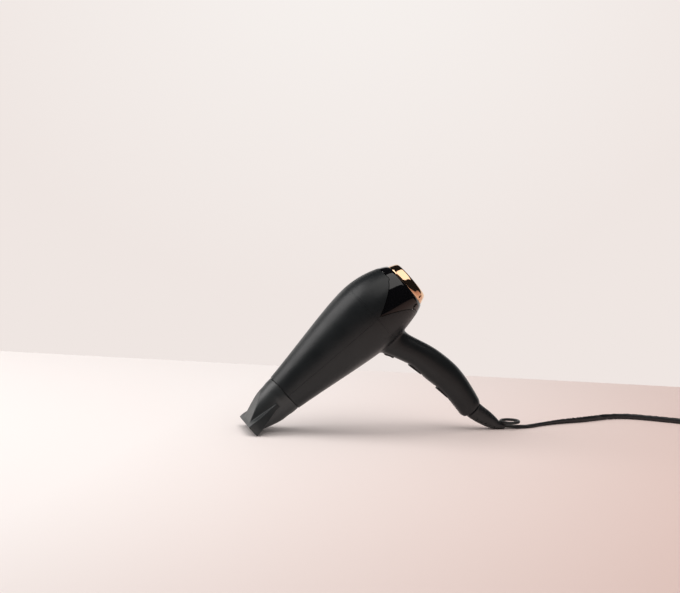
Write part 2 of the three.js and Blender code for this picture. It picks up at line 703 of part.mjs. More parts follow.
function buildMotor() {
  const bore = SHAFT_RADIUS + CLEARANCE;
  const capDepth = 4;
  add("motor", ringX(MOTOR_FRONT_X + CLEARANCE, motorRearX, bore, MOTOR_RADIUS, MEDIUM), "steel");
  const capFrontX = MOTOR_FRONT_X - capDepth;
  const terminals = [-7, 7].map((y) => block([capFrontX - 5, y - 1.5, -0.4], [capFrontX + 1, y + 1.5, 0.4]));
  const cap = ringX(MOTOR_FRONT_X - capDepth, MOTOR_FRONT_X, bore, MOTOR_RADIUS - 1, MEDIUM);
  add("motor_brush_cap", join(cap, ...terminals), "whitePlastic");
  const tail = fanFrontX + FAN_DEPTH + 2;
  add("motor_shaft", barX(MOTOR_FRONT_X - capDepth - 3, tail, SHAFT_RADIUS, COARSE), "steel");
  const hub = turned([
    [fanFrontX, bore],
    [fanFrontX, FAN_HUB_RADIUS],
    [fanFrontX + FAN_DEPTH - 2, FAN_HUB_RADIUS - 1],
    [fanFrontX + FAN_DEPTH, FAN_HUB_RADIUS - 4],
    [fanFrontX + FAN_DEPTH, bore],
  ], MEDIUM);
  const tip = DUCT_BORE - RUNNING_GAP;
  const blades = Array.from({ length: FAN_BLADES }, (unused, i) => {
    const rings = [FAN_HUB_RADIUS - 2, (FAN_HUB_RADIUS + tip) / 2, tip].map((radius, step) => {
      const lean = 0.95 - 0.16 * step;
      const [reach, half] = [FAN_DEPTH / 2 - 0.6, 0.7];
      return [[-reach, -half], [reach, -half], [reach, half], [-reach, half]].map(([a, b]) => {
        const x = fanFrontX + FAN_DEPTH / 2 + a * Math.cos(lean) - b * Math.sin(lean);
        const y = a * Math.sin(lean) + b * Math.cos(lean);
        return new THREE.Vector3(x, y, Math.sqrt(radius ** 2 - y ** 2));
      });
    });
    return placed(loft(rings), new THREE.Matrix4().makeRotationX((2 * Math.PI * i) / FAN_BLADES));
  });
  add("fan_impeller", join(hub, ...blades), "darkPlastic");
}

// ---- Rear housing with the handle, in a left and a right half ----

const screwSpots = [
  { name: "housing_screw_barrel", x: 170, z: 33, reach: 17 },
  { name: "housing_screw_grip", x: 150, z: -112, reach: 13 },
  { name: "housing_screw_end", x: 148, z: -163, reach: 9.5 },
];
const SCREW_RADIUS = 1.5;
const SCREW_HEAD_RADIUS = 2.9;
const BOSS_RADIUS = 3.2;

function buildRearHousing() {
  const body = barrelCore(RING_SEAM_X + CLEARANCE, CAP_FRONT_X + 2, 0, 5);
  const inside = barrelCore(RING_SEAM_X - 1, CAP_FRONT_X + 3, -SHELL_WALL, 5);
  const inFront = barrelCore(60, RING_SEAM_X + CLEARANCE, CLEARANCE, 8);
  const skin = join(body, handleCore(0).subtract(inFront));
  let hollow = skin.subtract(join(inside, handleCore(HANDLE_WALL), capSpace(CLEARANCE)));
  hollow = hollow.subtract(handleMouth()).subtract(controlOpenings());
  const [left, right] = [-1, 1].map((side) => housingHalf(hollow, skin, side));
  add("handle_shell_left", drooped(left), "satinBlack");
  add("handle_shell_right", drooped(right), "satinBlack");
  for (const { name, x, z, reach } of screwSpots) {
    const shank = barY(x, z, -reach + 4, reach - 2, SCREW_RADIUS, COARSE);
    const head = barY(x, z, reach - 2.2, reach, SCREW_HEAD_RADIUS - CLEARANCE, COARSE);
    add(name, drooped(join(shank, head)), "steel");
  }
}

// One half of the housing, with its screw posts and their holes.
function housingHalf(hollow, skin, side) {
  const gap = CLEARANCE / 2;
  const [low, high] = side < 0 ? [-70, -gap] : [gap, 70];
  let half = hollow.intersect(block([100, low, -200], [200, high, 60]));
  for (const { x, z, reach } of screwSpots) {
    const end = side < 0 ? -60 : 60;
    const post = barY(x, z, Math.min(side * gap, end), Math.max(side * gap, end), BOSS_RADIUS + 1);
    half = half.add(post.intersect(skin).intersect(block([100, low, -200], [200, high, 60])));
    const bore = barY(x, z, -reach + 4 - CLEARANCE, 70, SCREW_RADIUS + CLEARANCE);
    const headRoom = barY(x, z, reach - 2.2 - CLEARANCE, 70, SCREW_HEAD_RADIUS);
    const blind = bore.intersect(block([0, -70, -200], [300, gap, 70]));
    half = half.subtract(side < 0 ? blind : join(bore, headRoom));
  }
  return half;
}

// The hole at the handle's end that the cord boot comes out of.
function handleMouth() {
  const { x, depth, width } = BOOT_SECTIONS[1];
  const outline = superellipse(depth + CLEARANCE, width + CLEARANCE, BOOT_ROUNDNESS);
  const heights = [-HANDLE_END - 3, -HANDLE_END + HANDLE_WALL + 3];
  return loft(heights.map((z) => outline.map(([dx, dy]) => new THREE.Vector3(x + dx, dy, z))));
}

// ---- Controls ----

const STEM = { length: 5, width: 4 };
const LIP_DEPTH = 1.2;

// The track, slot and button hole cut through the front of the handle.
function controlOpenings() {
  const button = COOL_BUTTON;
  const hole = block(
    [-8, -button.width / 2 - CLEARANCE, -button.length / 2 - CLEARANCE],
    [8, button.width / 2 + CLEARANCE, button.length / 2 + CLEARANCE],
  );
  const cuts = [placed(hole, onHandleFront(button.drop))];
  for (const slide of [SPEED_SLIDE, HEAT_SLIDE]) {
    const reach = slide.length / 2 + slide.travel + CLEARANCE;
    const trackHalf = slide.width / 2 + CLEARANCE;
    const track = block([-TRACK_DEPTH, -trackHalf, -reach], [8, trackHalf, reach]);
    const slot = STEM.length / 2 + slide.travel + CLEARANCE;
    const slotHalf = STEM.width / 2 + CLEARANCE;
    const through = block([-8, -slotHalf, -slot], [8, slotHalf, slot]);
    cuts.push(placed(join(track, through), onHandleFront(slide.drop)));
  }
  return join(...cuts);
}

function buildControls() {
  const button = COOL_BUTTON;
  const [halfWidth, halfLength] = [button.width / 2, button.length / 2];
  const under = -HANDLE_WALL - 3.5;
  const cap = block([under, -halfWidth, -halfLength], [button.proud, halfWidth, halfLength]);
  const lip = block(
    [under - LIP_DEPTH, -halfWidth - 1.5, -halfLength - 1],
    [under, halfWidth + 1.5, halfLength + 1],
  );
  const frame = onHandleFront(button.drop);
  add("cool_shot_button", placed(join(cap, lip), frame), "darkPlastic");
  const springBack = under - LIP_DEPTH - CLEARANCE;
  const springFront = springBack - SPRING_LENGTH;
  const spring = ringX(springFront, springBack, 2, 3, COARSE);
  add("cool_shot_spring", placed(spring, frame), "steel");
  const switchFront = springFront - button.travel - CLEARANCE;
  const microswitch = block([switchFront - 7, -4, -6], [switchFront, 4, 6]);
  add("cool_shot_switch", placed(microswitch, frame), "darkPlastic");
  for (const [name, slide] of [["speed", SPEED_SLIDE], ["heat", HEAT_SLIDE]]) {
    const place = onHandleFront(slide.drop);
    const knob = slideKnob(slide);
    add(name + "_slide", placed(knob, place), "darkPlastic");
    const back = -HANDLE_WALL - 5;
    const body = block([back - 9, -6, -14], [back - CLEARANCE, 6, 14]);
    add(name + "_switch", placed(body, place), "darkPlastic");
  }
}

// A sliding knob: a ribbed wedge on a stem that passes through its slot.
function slideKnob({ length, width, proud }) {
  const [half, rib] = [length / 2, 1.2];
  const outline = [[CLEARANCE - TRACK_DEPTH, -half], [CLEARANCE - TRACK_DEPTH, half], [proud, half]];
  const ribs = 5;
  for (let i = 0; i < ribs; i += 1) {
    const top = half - 2.2 - (i * (length - 5)) / ribs;
    const height = proud - i * 0.16;
    outline.push([height, top], [height - 0.5, top - 0.4]);
    outline.push([height - 0.5, top - rib], [height - 0.16, top - rib - 0.4]);
  }
  outline.push([proud - 1.1, -half]);
  const [stemWide, stemLong] = [STEM.width / 2, STEM.length / 2];
  const stem = block([-HANDLE_WALL - 5, -stemWide, -stemLong], [0, stemWide, stemLong]);
  return join(plateXZ(outline, -width / 2, width / 2), stem);
}

// ---- Wiring inside ----

// The cord's end is clamped at the bottom. The board stands behind the middle line, with its parts on its
// front, and the two cores rise behind it to the motor.
function buildWiring() {
  const middle = handleAt(CLAMP.drop).middle + 2;
  const boardX = middle + BOARD.behind;
  const board = block(
    [boardX, -BOARD.width / 2, -BOARD.bottom],
    [boardX + BOARD.thickness, BOARD.width / 2, -BOARD.top],
  );
  add("rectifier_board", board, "board");
  for (const [name, piece, finish] of [
    ["suppression_capacitor", CAPACITOR, "component"],
    ["choke_coil", CHOKE, "copper"],
  ]) {
    const x = boardX - 4;
    add(name, barY(x, -piece.drop, -piece.length / 2, piece.length / 2, piece.radius, COARSE), finish);
  }
  const [low, high] = [-CLAMP.drop - CLAMP.height / 2, -CLAMP.drop + CLAMP.height / 2];
  const half = CLAMP.width / 2;
  const [back, bar, arm] = [middle - 6, middle - 3, middle + 5];
  const saddle = join(
    block([back, -half, low], [bar, half, high]),
    block([bar - 0.2, -half, low], [arm, CLAMP.wall - half, high]),
    block([bar - 0.2, half - CLAMP.wall, low], [arm, half, high]),
  );
  add("cord_clamp", saddle, "darkPlastic");
  const tailX = middle + 0.8;
  const tail = [[155, 0, -166.6], [tailX, 0, -160], [tailX, 0, -153]];
  add("cord_inner_end", cable(tail, CORD_WIDTH / 2, CORD_THICKNESS / 2, 8, 3), "rubber");
  for (const [name, side, finish] of [["wire_live", -1, "wireBrown"], ["wire_neutral", 1, "wireBlue"]]) {
    const y = side * WIRE_SPREAD;
    const route = [[tailX, 0.6 * y, -152], ...WIRE_ROUTE.map(([x, spread, z]) => [x, spread * y, z])];
    add(name, cable(route, WIRE_CORE_RADIUS, WIRE_CORE_RADIUS, 6, 20), finish);
  }
}

// ---- Rear cap, trim ring, grille and filter ----

function buildRear() {
  const shell = barrelShell(CAP_FRONT_X - WING_REACH - 1, CAP_END_X, CAP_WALL, 7);
  const lip = ringX(CAP_END_X - 1.6, CAP_END_X, RING_REAR_RADIUS - 1, CAP_END_RADIUS - 1);
  add("rear_cap", drooped(join(shell.intersect(capSpace(0)), lip)), "glossBlack");
  const start = CAP_END_X + CLEARANCE;
  const ring = turned([
    [start, RING_FRONT_RADIUS - RING_WALL - 1],
    [start, RING_FRONT_RADIUS],
    [start + 0.5 * RING_WIDTH, (RING_FRONT_RADIUS + RING_REAR_RADIUS) / 2 + 0.35],
    [start + RING_WIDTH - 0.6, RING_REAR_RADIUS],
    [start + RING_WIDTH, RING_REAR_RADIUS - 0.6],
    [start + RING_WIDTH, RING_REAR_RADIUS - RING_WALL],
    [start + RING_WIDTH - 1, RING_REAR_RADIUS - RING_WALL],
    [start + 1, RING_REAR_RADIUS - RING_WALL],
    [start + 1, RING_FRONT_RADIUS - RING_WALL - 1],
  ]);
  add("trim_ring", drooped(ring), "roseGold");
  buildGrille(start);
}

function buildGrille(start) {
  const rim = RING_REAR_RADIUS - RING_WALL - CLEARANCE;
  const back = start + RING_WIDTH - 1;
  const front = back - GRILLE_THICKNESS;
  const hoops = GRILLE_HOOPS.map((share) =>
    ringX(front, back, share * rim - GRILLE_HOOP_WIDTH, share * rim, MEDIUM),
  );
  const spokes = Array.from({ length: GRILLE_SPOKES / 2 }, (unused, i) => {
    const spoke = new THREE.BoxGeometry(GRILLE_THICKNESS, 2 * rim - 1, GRILLE_SPOKE_WIDTH);
    spoke.rotateX((2 * Math.PI * i) / GRILLE_SPOKES);
    spoke.translate((front + back) / 2, 0, 0);
    return solidOf(spoke);
  });
  const hub = barX(front, back, GRILLE_HUB_RADIUS, COARSE);
  const skirt = ringX(start + 1.5, front + 0.5, rim - 1.2, rim, MEDIUM);
  add("rear_grille", drooped(join(hub, skirt, ...hoops, ...spokes)), "glossBlack");
  const filterBack = front - CLEARANCE;
  const filter = barX(filterBack - FILTER_THICKNESS, filterBack, rim - 1.2 - CLEARANCE, MEDIUM);
  add("filter_mesh", drooped(filter), "steel");
}

// ---- Cord boot ----

// The boot's sections lie square to its bent middle line, and the last one squares up to its end's direction.
function bootRings(sections, endDirection) {
  const line = sections.map(({ x, z }) => new THREE.Vector3(x, 0, z));
  return sections.map(({ depth, width }, i) => {
    const [before, after] = [line[Math.max(i - 1, 0)], line[Math.min(i + 1, line.length - 1)]];
    const isEnd = i === line.length - 1;
    const along = isEnd ? endDirection : new THREE.Vector3().subVectors(after, before).normalize();
    const across = new THREE.Vector3(-along.z, 0, along.x);
    return superellipse(depth, width, BOOT_ROUNDNESS).map(([a, b]) =>
      line[i].clone().addScaledVector(across, a).add(new THREE.Vector3(0, b, 0)),
    );
  });
}

function buildBoot() {
  let boot = loft(bootRings(BOOT_SECTIONS, floorDirection));
  const flangeEnd = HANDLE_WALL - HANDLE_END + 2 * CLEARANCE;
  const across = { x: BOOT_SECTIONS[0].x, depth: 10.7, width: 10.5 };
  const ends = [{ ...across, z: flangeEnd + 2 }, { ...across, z: flangeEnd }];
  const flange = bootRings(ends, new THREE.Vector3(0, 0, -1));
  boot = boot.add(loft(flange));
  const [first, last] = [BOOT_SECTIONS[3], BOOT_SECTIONS[7]];
  for (let i = 0; i < BOOT_SLOTS; i += 1) {
    const share = i / (BOOT_SLOTS - 1);
    const x = THREE.MathUtils.lerp(first.x, last.x, share ** 1.15);
    const z = THREE.MathUtils.lerp(first.z, last.z, share);
    const lean = THREE.MathUtils.lerp(-0.16, -0.5, share);
    const spine = THREE.MathUtils.lerp(...BOOT_SPINE, share);
    for (const side of [-1, 1]) {
      const slot = new THREE.BoxGeometry(10, 30, BOOT_SLOT_WIDTH);
      slot.translate(side * (spine + 5), 0, 0.5 * side);
      slot.rotateY(lean);
      slot.translate(x, 0, z);
      boot = boot.subtract(solidOf(slot));
    }
  }
  const loop = new THREE.TorusGeometry(LOOP_RADIUS, LOOP_BAR, 8, MEDIUM);
  loop.rotateY(restTilt);
  const end = BOOT_SECTIONS.at(-1);
  const centre = new THREE.Vector3(end.x, 0, end.z);
  centre.addScaledVector(floorDirection, LOOP_AHEAD).addScaledVector(floorUp, LOOP_RISE);
  loop.translate(centre.x, centre.y, centre.z);
  add("cord_boot", boot.add(solidOf(loop)), "rubber");
}

// ---- Resting pose ----

// The nozzle's lower slot edge and the boot's end both touch the surface.
const edgeX = -NOZZLE_LENGTH;
const edgeZ = -SLOT_HEIGHT / 2;
const bootEnd = BOOT_SECTIONS.at(-1);
const run = bootEnd.x - edgeX;
const fall = edgeZ - bootEnd.z;
const restTilt = Math.atan2(fall, run) + Math.asin(bootEnd.depth / Math.hypot(run, fall));
const floorDirection = new THREE.Vector3(Math.cos(restTilt), 0, -Math.sin(restTilt));
const floorUp = new THREE.Vector3(Math.sin(restTilt), 0, Math.cos(restTilt));

buildNozzle();
buildBarrel();
buildOutlet();
buildHeater();
buildFanHousing();
buildMotor();
buildRearHousing();
buildControls();
buildWiring();
buildRear();
buildBoot();

// The dryer is tilted about its nozzle's edge, and its box is centred over the origin.
const tilted = new THREE.Group();
tilted.rotation.y = -restTilt;
tilted.add(dryer);
dryer.position.set(-edgeX, 0, -edgeZ);
tilted.updateMatrixWorld(true);
const box = new THREE.Box3().setFromObject(tilted, true);
const shift = new THREE.Vector3((box.min.x + box.max.x) / 2, (box.min.y + box.max.y) / 2, box.min.z);
tilted.position.sub(shift);

// ---- Cord, coil and plug, on the surface ----

// Where the cord leaves the boot, on the surface.
const exit = new THREE.Vector3(bootEnd.x, 0, bootEnd.z).applyMatrix4(dryer.matrixWorld).sub(shift);
const onFloor = new THREE.Group();
onFloor.position.set(exit.x, exit.y, 0);

const coilBase = TIE_THICKNESS + CLEARANCE;
const coilHeight = COIL_LAYERS * (CORD_WIDTH + 0.5);
const coilInner = COIL_MID_RADIUS - COIL_BAND / 2;
const coilOuter = COIL_MID_RADIUS + COIL_BAND / 2;

function buildCord() {
  const half = CORD_THICKNESS / 2;
  const entry = coilOuter - half;
  const meet = Math.sqrt((coilOuter + 1.5 * CLEARANCE) ** 2 - (entry - CORD_WIDTH / 2) ** 2);
  const [sx, sy] = [Math.cos(COIL_START_ANGLE), Math.sin(COIL_START_ANGLE)];
  const ahead = [-sy, sx];
  const touch = [COIL_CENTRE[0] + entry * sx, COIL_CENTRE[1] + entry * sy];
  const stop = [touch[0] - meet * ahead[0], touch[1] - meet * ahead[1], half];
  const route = CORD_ROUTE.map(([x, y, z]) => [x + (x === 0 ? CLEARANCE : 0), y, z + half]);
  add("cord", cable([...route, stop], CORD_WIDTH / 2, half, 8, 48), "rubber", onFloor);
  const coil = new THREE.LatheGeometry(
    [
      new THREE.Vector2(coilInner, coilBase),
      new THREE.Vector2(coilOuter, coilBase),
      new THREE.Vector2(coilOuter, coilBase + coilHeight),
      new THREE.Vector2(coilInner, coilBase + coilHeight),
      new THREE.Vector2(coilInner, coilBase),
    ],
    MEDIUM,
  );
  coil.rotateX(Math.PI / 2);
  coil.translate(COIL_CENTRE[0], COIL_CENTRE[1], 0);
  add("cord_coil", solidOf(coil), "rubber", onFloor);
  buildTie();
}

// A strap round the coil's turns, on the side away from the plug.
function buildTie() {
  const slack = 0.7;
  const [inner, outer] = [coilInner - slack, coilOuter + slack];
  const low = coilBase - CLEARANCE;
  const high = coilBase + coilHeight + CLEARANCE;
  const frameOutside = block(
    [inner - TIE_THICKNESS, -TIE_WIDTH / 2, 0],
    [outer + TIE_THICKNESS, TIE_WIDTH / 2, high + TIE_THICKNESS],
  );
  const frameInside = block([inner, -TIE_WIDTH, low], [outer, TIE_WIDTH, high]);
  const turn = new THREE.Matrix4().makeRotationZ(THREE.MathUtils.degToRad(100));
  turn.setPosition(COIL_CENTRE[0], COIL_CENTRE[1], 0);
  add("cord_tie", placed(frameOutside.subtract(frameInside), turn), "darkPlastic", onFloor);
}

// The plug lies beside the coil, on the line that its last turn leaves along, and its grip meets the coil.
function buildPlug() {
  const height = PLUG_BODY_HEIGHT / 2;
  const aside = coilOuter - CORD_THICKNESS / 2;
  const x = COIL_CENTRE[0] + aside;
  const meet = Math.sqrt((coilOuter + CLEARANCE) ** 2 - (aside - PLUG_GRIP_HALF_WIDTH) ** 2);
  const gripStart = COIL_CENTRE[1] + meet;
  const bodyStart = gripStart + PLUG_GRIP_LENGTH;
  const bodyEnd = bodyStart + PLUG_BODY_LENGTH;
  const stations = [
    [gripStart, PLUG_GRIP_HALF_WIDTH, PLUG_GRIP_HALF_WIDTH - 0.8],
    [bodyStart, 1.5 * PLUG_GRIP_HALF_WIDTH, 1.5 * PLUG_GRIP_HALF_WIDTH - 0.6],
    [bodyStart + 7, PLUG_BODY_WIDTH / 2 - 3, height - 3],
    [bodyStart + 18, PLUG_BODY_WIDTH / 2 - 2.2, height - 2.4],
    [bodyEnd - 12, PLUG_BODY_WIDTH / 2, height],
    [bodyEnd, PLUG_BODY_WIDTH / 2, height],
  ];
  const body = loft(stations.map(([y, a, b]) =>
    superellipse(a, b, 3).map(([dx, dz]) => new THREE.Vector3(x + dx, y, height + dz)),
  ));
  const pinX = [-1, 1].map((side) => x + (side * PIN_SPACING) / 2);
  const pinStart = bodyEnd - PIN_DEPTH;
  const pins = pinX.map((place) => barY(place, height, pinStart, bodyEnd + PIN_LENGTH, PIN_RADIUS));
  const sockets = pinX.map((place) =>
    barY(place, height, pinStart - CLEARANCE, bodyEnd + 1, PIN_RADIUS + CLEARANCE),
  );
  add("plug_body", body.subtract(join(...sockets)), "rubber", onFloor);
  add("plug_pin_left", pins[0], "steel", onFloor);
  add("plug_pin_right", pins[1], "steel", onFloor);
}

buildCord();
buildPlug();

const hairDryer = new THREE.Group();
hairDryer.add(tilted, onFloor);

export default hairDryer;
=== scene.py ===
"""A hair dryer with a slot nozzle, lying on the edge of its nozzle and on its cord boot.

Its shells, trim, controls, boot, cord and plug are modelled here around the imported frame.
Shapes are drawn in millimetres in the dryer's own frame, where +X runs back along the barrel from its
outlet and +Z points away from the handle, and are then put in place in the row frame in metres.
"""
import math

import bpy
from mathutils import Matrix, Vector
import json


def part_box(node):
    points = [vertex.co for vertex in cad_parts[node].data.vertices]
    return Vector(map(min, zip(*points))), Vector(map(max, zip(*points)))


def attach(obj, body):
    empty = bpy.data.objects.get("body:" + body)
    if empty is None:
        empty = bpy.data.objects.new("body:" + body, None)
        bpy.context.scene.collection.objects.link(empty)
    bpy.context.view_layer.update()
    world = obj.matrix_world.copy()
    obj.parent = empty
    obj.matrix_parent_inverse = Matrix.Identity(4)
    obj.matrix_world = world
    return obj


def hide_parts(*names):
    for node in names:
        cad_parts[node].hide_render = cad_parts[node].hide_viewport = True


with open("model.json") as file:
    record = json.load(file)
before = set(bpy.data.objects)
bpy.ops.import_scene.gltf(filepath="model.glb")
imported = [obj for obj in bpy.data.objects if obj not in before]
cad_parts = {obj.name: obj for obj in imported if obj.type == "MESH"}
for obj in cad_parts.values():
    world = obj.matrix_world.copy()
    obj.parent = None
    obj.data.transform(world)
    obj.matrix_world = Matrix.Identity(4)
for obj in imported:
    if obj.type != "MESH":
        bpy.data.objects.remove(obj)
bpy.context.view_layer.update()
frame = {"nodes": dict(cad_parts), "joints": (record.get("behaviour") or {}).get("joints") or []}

MM = 0.001
GAP = 0.3

# ---- Sizes, in millimetres ----

OUTLET_RADIUS = 24.9
BELLY_RADIUS = 43.8
BELLY_X = 137.0
CAP_END_X = 191.5
CAP_END_RADIUS = 31.0
SHELL_WALL = 2.2
CAP_WALL = 1.8
RING_SEAM_X = 139.6
CAP_FRONT_X = 182.0
WING_REACH = 38.5
WING_HALF_HEIGHT = 31.0
CAP_SEAM = 0.25
HAIRLINE = 0.1
NOZZLE_GAP = 0.05

DROOP_START_X = 145.0
DROOP = 3.2
DROOP_STRETCH = 1.0
DROOP_TILT = 0.038
DROOP_HANDLE_Z = -60.0
DROOP_BLEND = 25.0

RING_WIDTH = 10.5
RING_FRONT_RADIUS = 29.6
RING_REAR_RADIUS = 25.3
RING_WALL = 1.6
GRILLE_THICKNESS = 2.4

NOZZLE_LENGTH = 59.7
NOZZLE_REAR_RADIUS = 24.3
NOZZLE_WALL = 1.9
SLOT_WIDTH = 70.0
SLOT_HEIGHT = 14.8
FACET_START = 20.0
FIN_START = 15.5
LIP_LENGTH = 4.5
FIN_ROOT_HEIGHT = 5.0
SNAP_RING_WALL = 1.3
SNAP_RING_LENGTH = 8.0
SPIGOT_RADIUS = 20.4
SPIGOT_LENGTH = 9.5
SPIGOT_WALL = 1.2
COLLAR_FLANGE = 3.0
COLLAR_SOCKET = 6.0
OUTLET_GRILLE_THICKNESS = 2.5
FILTER_THICKNESS = 0.8
GAUZE_PITCH = 1.25
GAUZE_WIRE = 0.36

HANDLE_WALL = 2.1
HANDLE_ROUNDNESS = 2.4
# Drop below the barrel's axis, middle, half depth and half width of each section of the handle.
HANDLE_SECTIONS = [
    (30, 134, 24, 18.6),
    (38, 135.5, 21.7, 17.6),
    (45, 137.8, 19.3, 16.9),
    (52, 140.2, 18, 16.5),
    (60, 143.4, 17.4, 16.3),
    (78, 150.4, 17.1, 16.3),
    (92, 153.6, 17.9, 16.4),
    (108, 156, 18.4, 16.4),
    (124, 158, 17.8, 16.1),
    (142, 158, 16.6, 15.5),
    (159, 156.3, 15.5, 14.7),
    (171, 154.7, 14.6, 14),
    (175.5, 154.5, 12.6, 12.4),
]

BUTTON = {"drop": 54, "length": 12, "width": 9, "proud": 1.5}
SLIDES = {"speed": 89, "heat": 134}
SLIDE_LENGTH = 18.0
SLIDE_WIDTH = 10.0
SLIDE_PROUD = 1.7
SLIDE_TRAVEL = 5.0
TRACK_DEPTH = 1.0
STEM_LENGTH = 5.0
STEM_WIDTH = 4.0
LIP_DEPTH = 1.2
SLIDE_GROOVES = 5
DISH_RADIUS = 16.0

BOOT_ROUNDNESS = 2.5
# Place along the barrel, height, half depth and half width of each section of the boot.
BOOT_SECTIONS = [
    (155.3, -176.6, 9.6, 9.6),
    (155.6, -178, 11, 10.8),
    (157.2, -186, 10.4, 10.2),
    (159.2, -193.4, 9.8, 9.4),
    (161, -200.4, 8.9, 8.6),
    (163, -207, 7.4, 7.8),
    (165.8, -213.4, 5.1, 7),
    (170.1, -219.7, 3.4, 5.6),
]
BOOT_SLOTS = 6
BOOT_SLOT_WIDTH = 1.5
BOOT_NECK = 9.5
BOOT_MOUTH = 9.9
LOOP_RADIUS = 11.2
LOOP_BAR = 1.8
LOOP_AHEAD = 7.4
LOOP_RISE = 5.6

CORD_WIDTH = 7.0
CORD_THICKNESS = 4.4
# The cord's route on the surface from the boot's end, given in metres.
CORD_ROUTE = [
    (0.000, 0.000, 0.0012),
    (0.008, 0.000, 0.0008),
    (0.020, 0.000, 0.0001),
    (0.035, 0.004, 0.0),
    (0.051, 0.014, 0.0),
    (0.077, 0.025, 0.0),
    (0.109, 0.034, 0.0),
    (0.130, 0.043, 0.0),
    (0.152, 0.052, 0.0),
    (0.175, 0.053, 0.0),
    (0.200, 0.042, 0.0),
    (0.224, 0.027, 0.0),
]
# Where the flat cord begins to turn on edge, and how long it takes to.
TURN_START_M = 0.03
TURN_LENGTH_M = 0.09
COIL_CENTRE = (0.296, 0.033)
COIL_START_ANGLE = math.radians(-122.5)
COIL_MID_RADIUS = 36.5
COIL_BAND = 20.0
COIL_TURNS = 3.17
COIL_STEPS_PER_TURN = 24
CORD_SIDES = 20
TIE_THICKNESS = 0.8
TIE_WIDTH = 8.0
TIE_SLACK = 0.7
TIE_CORNER = 2.4
TIE_ANGLE = math.radians(100)

PLUG_BODY_LENGTH = 42.0
PLUG_BODY_WIDTH = 36.0
PLUG_BODY_HEIGHT = 26.0
PLUG_GRIP_LENGTH = 15.0
PLUG_GRIP_HALF_WIDTH = 4.4
PIN_RADIUS = 2.4
PIN_LENGTH = 19.0
PIN_SPACING = 19.0
PIN_DEPTH = 8.0

# ---- The dryer's own frame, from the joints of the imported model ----

joints = {joint["name"]: joint for joint in frame["joints"]}
along = Vector(joints["nozzle_spin"]["axis"]).normalized()
above = Vector((0, 1, 0)).cross(along) * -1
axis_start = Vector(joints["nozzle_spin"]["pos_m"])
REST = Matrix.Translation(axis_start) @ Matrix((
    (along.x, 0, above.x, 0),
    (along.y, 1, above.y, 0),
    (along.z, 0, above.z, 0),
    (0, 0, 0, 1),
)) @ Matrix.Scale(MM, 4)
tilt = math.atan2(along.z, along.x)


# ---- Modelling by hand ----

def only(piece):
    """Selects one object and nothing else."""
    if bpy.context.object and bpy.context.object.mode != "OBJECT":
        bpy.ops.object.mode_set(mode="OBJECT")
    bpy.ops.object.select_all(action="DESELECT")
    piece.select_set(True)
    bpy.context.view_layer.objects.active = piece


def edit(piece, select="SELECT"):
    only(piece)
    bpy.ops.object.mode_set(mode="EDIT")
    bpy.ops.mesh.select_all(action=select)


def done(piece):
    bpy.ops.object.mode_set(mode="OBJECT")
    return piece


def named(name):
    """The primitive that was just added, with its place in its mesh."""
    piece = bpy.context.object
    piece.name = name
    piece.data.name = name
    piece.data.transform(piece.matrix_world)
    piece.matrix_world = Matrix.Identity(4)
    return piece


def finish_with(piece, kind, **settings):
    """Adds a modifier and applies it."""
    only(piece)
    modifier = piece.modifiers.new(kind.lower(), kind)
    for key, value in settings.items():
        setattr(modifier, key, value)
    bpy.ops.object.modifier_apply(modifier=modifier.name)
    return piece


def combine(piece, operation, *others):
    """Cuts, joins or intersects closed shapes, and uses up the others."""
    for other in others:
        finish_with(piece, "BOOLEAN", operation=operation, solver="MANIFOLD", object=other)
        bpy.data.objects.remove(other)
    return piece


def cut(piece, *others):
    return combine(piece, "DIFFERENCE", *others)


def join(piece, *others):
    return combine(piece, "UNION", *others)


def keep(piece, *others):
    return combine(piece, "INTERSECT", *others)


def copy_of(piece, name):
    twin = piece.copy()
    twin.data = piece.data.copy()
    twin.name = name
    bpy.context.scene.collection.objects.link(twin)
    return twin


def half_of(piece, name, place, normal):
    """What lies beyond a plane, as a closed piece of its own."""
    half = copy_of(piece, name)
    edit(half)
    bpy.ops.mesh.bisect(plane_co=place, plane_no=normal, use_fill=True, clear_inner=True)
    done(half)
    return close_up(half)


def soften(piece, width, segments=2, angle=35.0):
    """Rounds the sharp edges of a piece."""
    return finish_with(piece, "BEVEL", width=width, segments=segments, limit_method="ANGLE",
                       angle_limit=math.radians(angle), harden_normals=False)


def smooth(piece, angle=32.0):
    only(piece)
    bpy.ops.object.shade_smooth_by_angle(angle=math.radians(angle))
    return piece


def close_up(piece):
    """Merges what meets and turns every face outwards."""
    edit(piece)
    bpy.ops.mesh.remove_doubles(threshold=0.002)
    bpy.ops.mesh.normals_make_consistent(inside=False)
    return done(piece)


def fill_ends(piece):
    edit(piece, "DESELECT")
    bpy.ops.mesh.select_non_manifold()
    bpy.ops.mesh.edge_face_add()
    done(piece)


def turned(name, profile, sides=160, closed=True):
    """A circle drawn out ring by ring along the barrel, through (place, radius) points."""
    place, radius = profile[0]
    bpy.ops.mesh.primitive_circle_add(vertices=sides, radius=max(radius, 0.001), location=(place, 0, 0),
                                      rotation=(0, math.pi / 2, 0))
    piece = named(name)
    edit(piece)
    points = profile[1:] + ([profile[0]] if closed else [])
    for next_place, next_radius in points:
        bpy.ops.mesh.extrude_region_move(TRANSFORM_OT_translate={"value": (next_place - place, 0, 0)})
        share = max(next_radius, 0.001) / max(radius, 0.001)
        bpy.ops.transform.resize(value=(1, share, share), center_override=(next_place, 0, 0))
        place, radius = next_place, next_radius
    done(piece)
    if not closed:
        fill_ends(piece)
    return close_up(piece)


def bar_x(name, start, end, radius, sides=48):
    return turned(name, [(start, radius), (end, radius)], sides, closed=False)


def ring_x(name, start, end, inner, outer, sides=96):
    return turned(name, [(start, inner), (start, outer), (end, outer), (end, inner)], sides)


